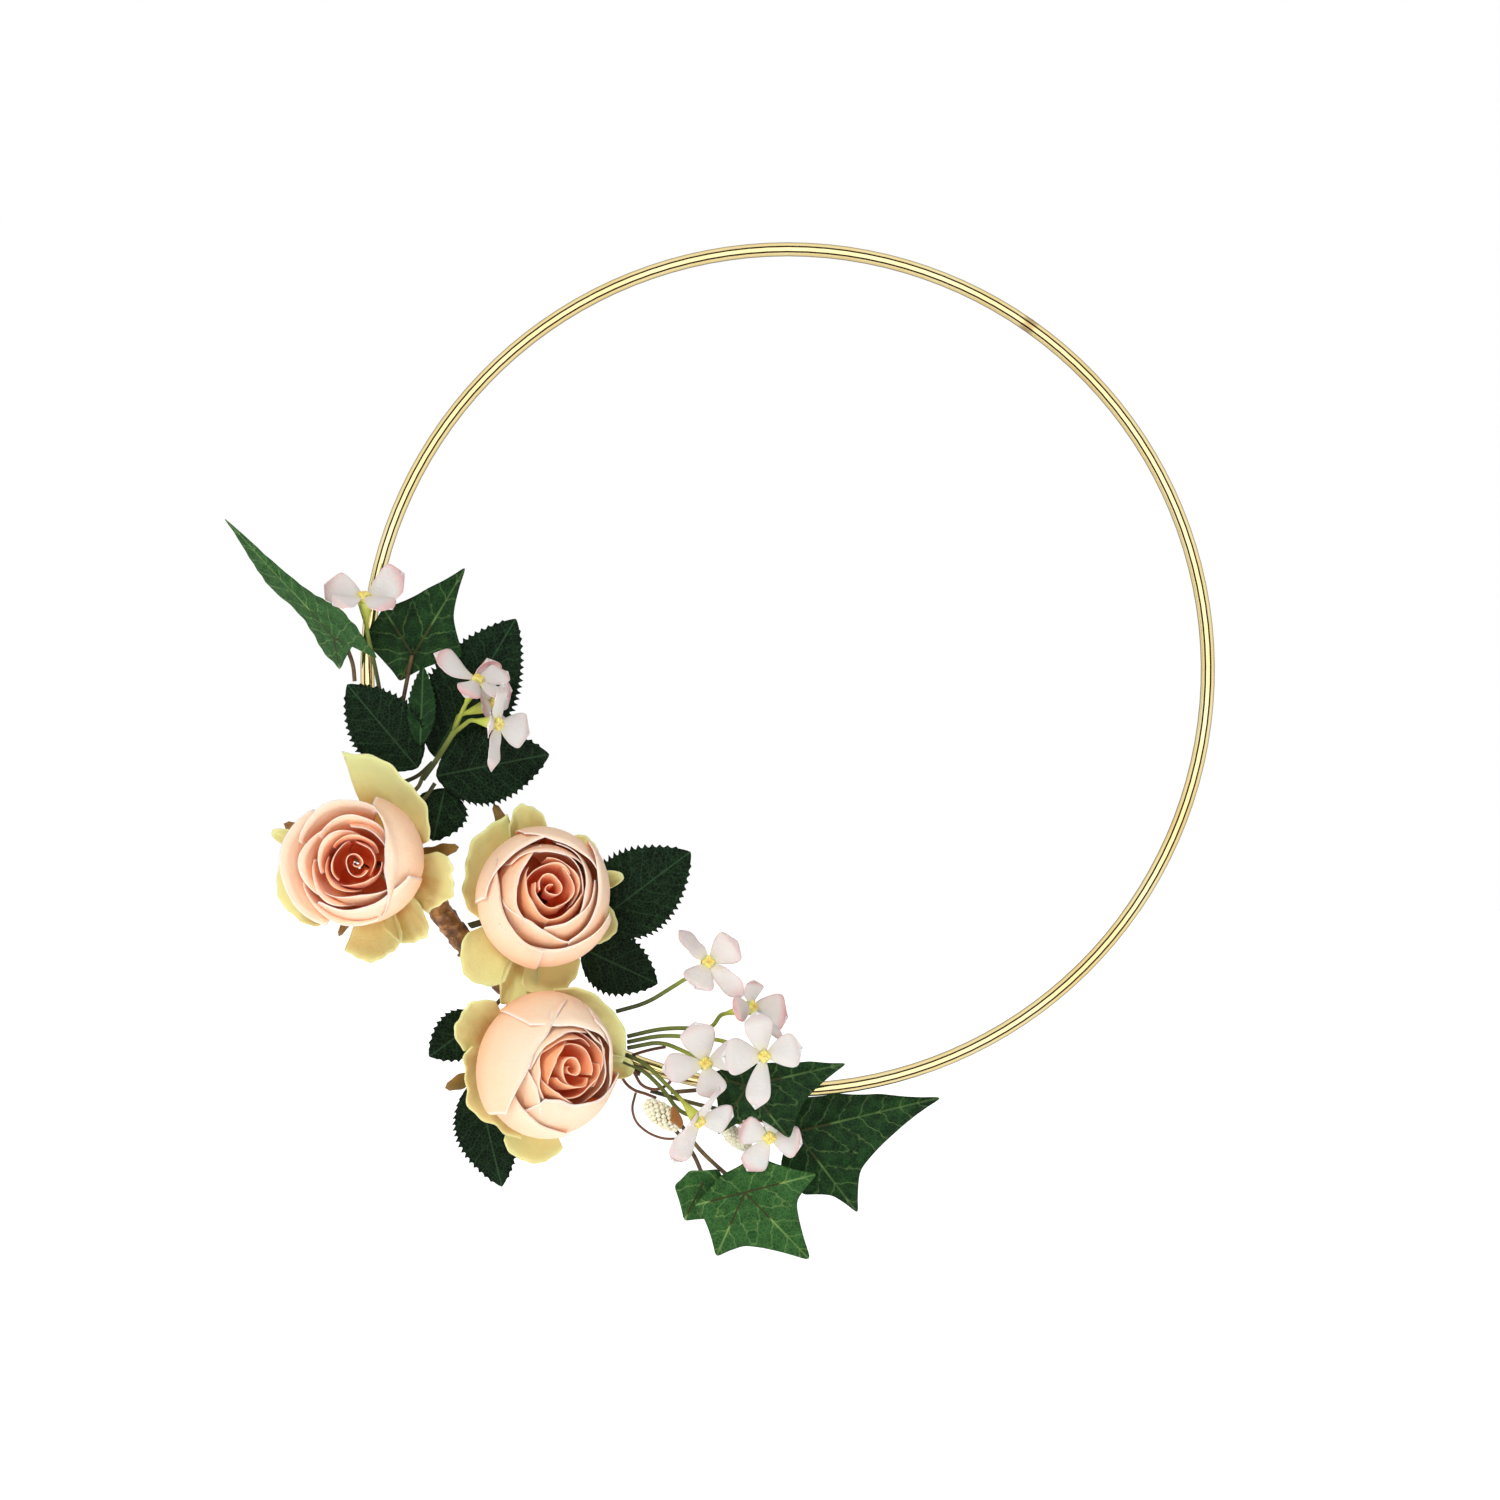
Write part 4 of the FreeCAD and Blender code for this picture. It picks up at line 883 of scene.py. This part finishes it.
# ---- pods and tape ----
POD_BEADS = 96
BEAD_RADIUS = 0.86 * MM
GOLDEN_ANGLE = math.pi * (3 - math.sqrt(5))
TAPE_PITCH = 5.5 * MM  # distance from one turn of tape to the next
TAPE_ROW = 0.45 * MM  # distance between the rows of points along the tape
TAPE_STEP = 0.55 * MM  # how far a turn's edge stands off the turn below
TAPE_CRINKLE = 0.45 * MM
TAPE_END = 1.2 * MM  # length over which the ends close


def bead_grid(centre, radius):
    """A bead as a grid of points."""
    polar = np.linspace(0.08, math.pi - 0.08, 8)[:, None]
    ring = np.linspace(0, 2 * np.pi, 13)[None, :-1]
    return centre + stacked(*turned(np.sin(polar), 0, ring), np.cos(polar)) * radius


def make_pods():
    """Clusters of small beads over each pod's solid, with a papery bract at the foot of the front one."""
    bract = Sheets()
    sheets = Sheets()
    rng = random.Random(5)
    points = node_points("bead_pods")
    split = (points[:, 0].min() + points[:, 0].max()) / 2
    for group in (points[points[:, 0] < split], points[points[:, 0] >= split]):
        centre = group.mean(0)
        _, _, vectors = np.linalg.svd(group - centre)
        axis = vectors[0] if vectors[0][0] > 0 else -vectors[0]
        reach = (group - centre) @ axis
        middle = centre + axis * (reach.max() + reach.min()) / 2
        half = np.ptp(reach) / 2
        girth = np.linalg.norm((group - middle) - np.outer((group - middle) @ axis, axis), axis=1).max()
        right = np.cross(axis, (0, 1, 0))
        right /= np.linalg.norm(right)
        up = np.cross(axis, right)
        for index in range(POD_BEADS):
            share = -1 + 2 * (index + 0.5) / POD_BEADS
            turn = index * GOLDEN_ANGLE
            ring = girth * 0.92 * math.sqrt(1 - share**2 * 0.92)
            spot = middle + axis * share * half * 0.95 + turned(right, up, -turn)[0] * ring
            bead = BEAD_RADIUS * rng.uniform(0.85, 1.2)
            sheets.add(bead_grid(spot, bead), wrap=True, caps="first last")
        if not bract.points:
            v = np.linspace(0, 1, 16)[:, None]
            turn = np.linspace(-1.9, 1.5, 25)[None, :]
            ring = girth * (0.35 + 0.95 * v**0.6 + 0.1 * np.sin(turn * 5) * v)
            place = half * (1.05 - (0.75 + 0.16 * np.sin(turn * 3.4)) * v)
            spots = (place[..., None] * axis + (ring * np.cos(turn))[..., None] * right
                     + (ring * np.sin(turn))[..., None] * up)
            bract.add(middle + spots)
    sheets.finish("bead_pods_clusters", "pod_beads", "bead_pods")
    bract.finish("bead_pods_bract", "rose_calyx", "bead_pods", BRACT_THICKNESS, hides=False)


def make_tape(node, seed):
    """Crinkled tape wound round the bundle in overlapping turns."""
    arms = node_points(node) - np.array(HOOP_CENTRE)
    turn = np.arctan2(arms[:, 2], arms[:, 0]) % (2 * np.pi)
    radius = np.hypot(arms[:, 0], arms[:, 2])
    low, high = turn.min(), turn.max()
    outer, inner = radius.max(), radius.min()
    middle, half = (outer + inner) / 2, (outer - inner) / 2
    low_box, high_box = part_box(node)
    deep = (high_box.y - low_box.y) / 2
    length = (high - low) * middle
    s = np.linspace(0, 1, int(length / TAPE_ROW))[:, None]
    ring = np.linspace(0, 2 * np.pi, 49)[None, :-1]
    wind = (s * length / TAPE_PITCH + ring / (2 * np.pi)) % 1.0
    step = smooth_step(wind, 0.0, 0.12) * (1 - wind)
    angle = low + (high - low) * s
    crinkle = np.array([[noise.noise(Vector((a * 90, math.cos(b) * 2.2, math.sin(b) * 2.2 + seed)))
                         for b in ring[0]] for a in angle[:, 0]])
    grow = TAPE_STEP * step + TAPE_CRINKLE * crinkle
    cap = np.sqrt(np.clip(np.minimum(s, 1 - s) * length / TAPE_END, 0.02, 1))
    radial = middle + (half + grow) * np.cos(ring) * cap
    depth = (deep + grow) * np.sin(ring) * cap
    points = np.array(HOOP_CENTRE) + stacked(radial * np.cos(angle), depth, radial * np.sin(angle))
    sheets = Sheets()
    sheets.add(points[::-1], wrap=True, caps="first last")
    sheets.finish(node + "_wound", "paper_tape", node)


# ---- loose ends of the tie wire ----
TIE_WIRE_RADIUS = 0.55  # in mm
# routes beside the lower rose, in mm from the hoop's centre: right, back and up
TIE_WIRES = (
    ((-60, -3, -143.6), (-57.4, -5.5, -147.4), (-54.4, -6.5, -149.6), (-50.5, -5, -151), (-47, -2, -152.6)),
    ((-57, -2, -139), (-54.6, -5, -143.4), (-51.8, -5.8, -147.8), (-47, -5.6, -149.4), (-42.6, -4.2, -147.6),
     (-40.4, 0.5, -144)),
    ((-55.6, -1, -137.6), (-52.4, -3.2, -136.4), (-48, -4, -135.2), (-43.4, -3.4, -134.4)),
)


def make_tie_wires():
    """Loose ends of the wire that ties the sprays to the bundle."""
    sheets = Sheets()
    ring = np.linspace(0, 2 * np.pi, 13)[:-1]
    for route in TIE_WIRES:
        line = along_curve(route, np.linspace(0, 1, 60))
        way = np.gradient(line, axis=0)
        way /= np.linalg.norm(way, axis=1)[:, None]
        side = np.cross(way, (0, 1, 0))
        side /= np.linalg.norm(side, axis=1)[:, None]
        over = np.cross(way, side)
        spokes = side[:, None] * np.cos(ring)[:, None] + over[:, None] * np.sin(ring)[:, None]
        points = np.array(HOOP_CENTRE) + (line[:, None] + spokes * TIE_WIRE_RADIUS) * MM
        sheets.add(points, wrap=True, caps="first last")
    sheets.finish("loose_tie_wires", "binding_wire", "hoop", hides=False)


# ---- CAD nodes that stay visible ----
CAD_FINISH = {
    "hoop": "hoop_gold", "core_stem": "stem_wire", "binding_wire": "binding_wire",
    "tendril_wire": "binding_wire", "rose_stems": "rose_stem", "rose_leaf_stems": "rose_stem",
    "ivy_petiole_a": "ivy_petiole", "ivy_petiole_b": "ivy_petiole", "ivy_petiole_d": "ivy_petiole",
    "ivy_petiole_e": "ivy_petiole", "ivy_petioles_lower": "ivy_petiole",
}


def paint(node, material):
    """Gives a CAD node its material."""
    mesh = frame["nodes"][node].data
    mesh.materials.clear()
    mesh.materials.append(material)


# ---- stage ----
VIEW_SHIFT = Vector((-13.4, 0, -28.7)) * MM  # from the hoop's centre to the picture's centre
VIEW_WIDTH = 0.535  # width of the picture at the hoop, in metres
VIEW_DISTANCE = 1.9
SENSOR = 36.0  # in mm
CLIP_START, CLIP_END = 0.05, 100  # in metres
FLOOR_DROP = 0.45  # from the hoop's centre, in metres
FLOOR_RADIUS, FLOOR_SIDES = 12, 64
SOFT_LIGHT = 0.24  # strength of the even light from all round
GLOSS_LIGHT = 1.9  # strength of the bands of light that polished metal shows
# place of each band from in front of the object, 0, to behind it, 1, and its grey
GLOSS_BANDS = ((0, 0.8), (0.04, 0.8), (0.085, 0), (0.2, 0), (0.26, 0.46), (0.42, 0.52), (0.66, 0.42),
               (0.82, 0.25), (1, 0.06))
# name, place from the picture's centre and size in metres, and power in watts
LAMPS = (("key", (-0.8, -1.5, 1.1), 0.6, 22), ("fill", (1.2, -1.3, 0.1), 1.0, 4),
         ("top", (0.1, 0.5, 1.5), 0.8, 6), ("back", (-0.6, 1.6, 0.2), 1.0, 3))


def make_lamp(name, place, size, power):
    """Soft round lamp that shines towards the picture's centre."""
    light = bpy.data.lights.new(name, "AREA")
    light.shape = "DISK"
    light.size = size
    light.energy = power
    lamp = new_object(name, light)
    lamp.location = HOOP_CENTRE + VIEW_SHIFT + Vector(place)
    lamp.visible_glossy = False
    lamp.rotation_euler = (-Vector(place)).to_track_quat("-Z", "Y").to_euler()


def make_camera():
    """Camera straight in front of the hoop."""
    scene = bpy.context.scene
    camera = new_object("camera", bpy.data.cameras.new("camera"))
    camera.data.sensor_width = SENSOR
    camera.data.lens = SENSOR * VIEW_DISTANCE / VIEW_WIDTH
    camera.data.clip_start, camera.data.clip_end = CLIP_START, CLIP_END
    camera.location = HOOP_CENTRE + VIEW_SHIFT - Vector((0, VIEW_DISTANCE, 0))
    camera.rotation_euler = (math.radians(90), 0, 0)
    scene.camera = camera
    scene.view_settings.view_transform = "Standard"


def make_floor():
    """White floor that glows, so that it fades into the surroundings."""
    mesh = bpy.data.meshes.new("floor")
    steps = np.linspace(0, 2 * np.pi, FLOOR_SIDES, endpoint=False)
    ring = [(*turned(FLOOR_RADIUS, 0, step), 0) for step in steps]
    mesh.from_pydata(ring, [], [tuple(range(FLOOR_SIDES))])
    floor = new_object("floor", mesh)
    floor.location = (0, 0, HOOP_CENTRE.z - FLOOR_DROP)
    finish = Finish("white_floor", 0.9, Emission_Color=PAPER_WHITE, Emission_Strength=1.0)
    cloud = finish.noise(finish.place(), 3.0)
    mesh.materials.append(finish.done(finish.mix(cloud, (0.8, 0.8, 0.8), (0.84, 0.84, 0.84))))
    floor.visible_glossy = False


def make_surroundings():
    """Even light from all round, bands of light for reflections and plain white behind the object."""
    world = bpy.data.worlds.new("studio")
    world.use_nodes = True
    world.node_tree.nodes.clear()
    sky = Nodes(world.node_tree)
    direction = sky.node("ShaderNodeTexCoord").outputs["Generated"]
    back = sky.node("ShaderNodeSeparateXYZ", {0: direction}).outputs[1]
    place = sky.node("ShaderNodeMapRange", {"Value": back, "From Min": -1.0}).outputs[0]
    bands = sky.ramp(place, *((stop, (grey, grey, grey)) for stop, grey in GLOSS_BANDS))
    ray = sky.node("ShaderNodeLightPath").outputs
    seen = sky.node("ShaderNodeBackground", {"Color": PAPER_WHITE, "Strength": SOFT_LIGHT}).outputs[0]
    gloss = sky.node("ShaderNodeBackground", {"Color": bands, "Strength": GLOSS_LIGHT}).outputs[0]
    paper = sky.node("ShaderNodeBackground", {"Color": PAPER_WHITE}).outputs[0]
    for kind, other in (("Is Glossy Ray", gloss), ("Is Camera Ray", paper)):
        seen = sky.node("ShaderNodeMixShader", {0: ray[kind], 1: seen, 2: other}).outputs[0]
    sky.node("ShaderNodeOutputWorld", {0: seen})
    bpy.context.scene.world = world


make_camera()
make_floor()
make_surroundings()
for lamp_settings in LAMPS:
    make_lamp(*lamp_settings)
make_roses()
for node, settings in ROSE_LEAVES.items():
    make_rose_leaf(node, *settings)
for node, settings in IVY_LEAVES.items():
    make_ivy_leaf(node, *settings)
for node, settings in BLOSSOMS.items():
    make_blossom(node, *settings)
make_pods()
make_tape("tape_wrap_upper", 1)
make_tape("tape_wrap_lower", 2)
make_tie_wires()
for node, finish in CAD_FINISH.items():
    paint(node, FINISHES[finish])
for sprig in dict.fromkeys(owner for _, owner, _ in BLOSSOMS.values()):
    paint(sprig, sprig_finish(sprig))
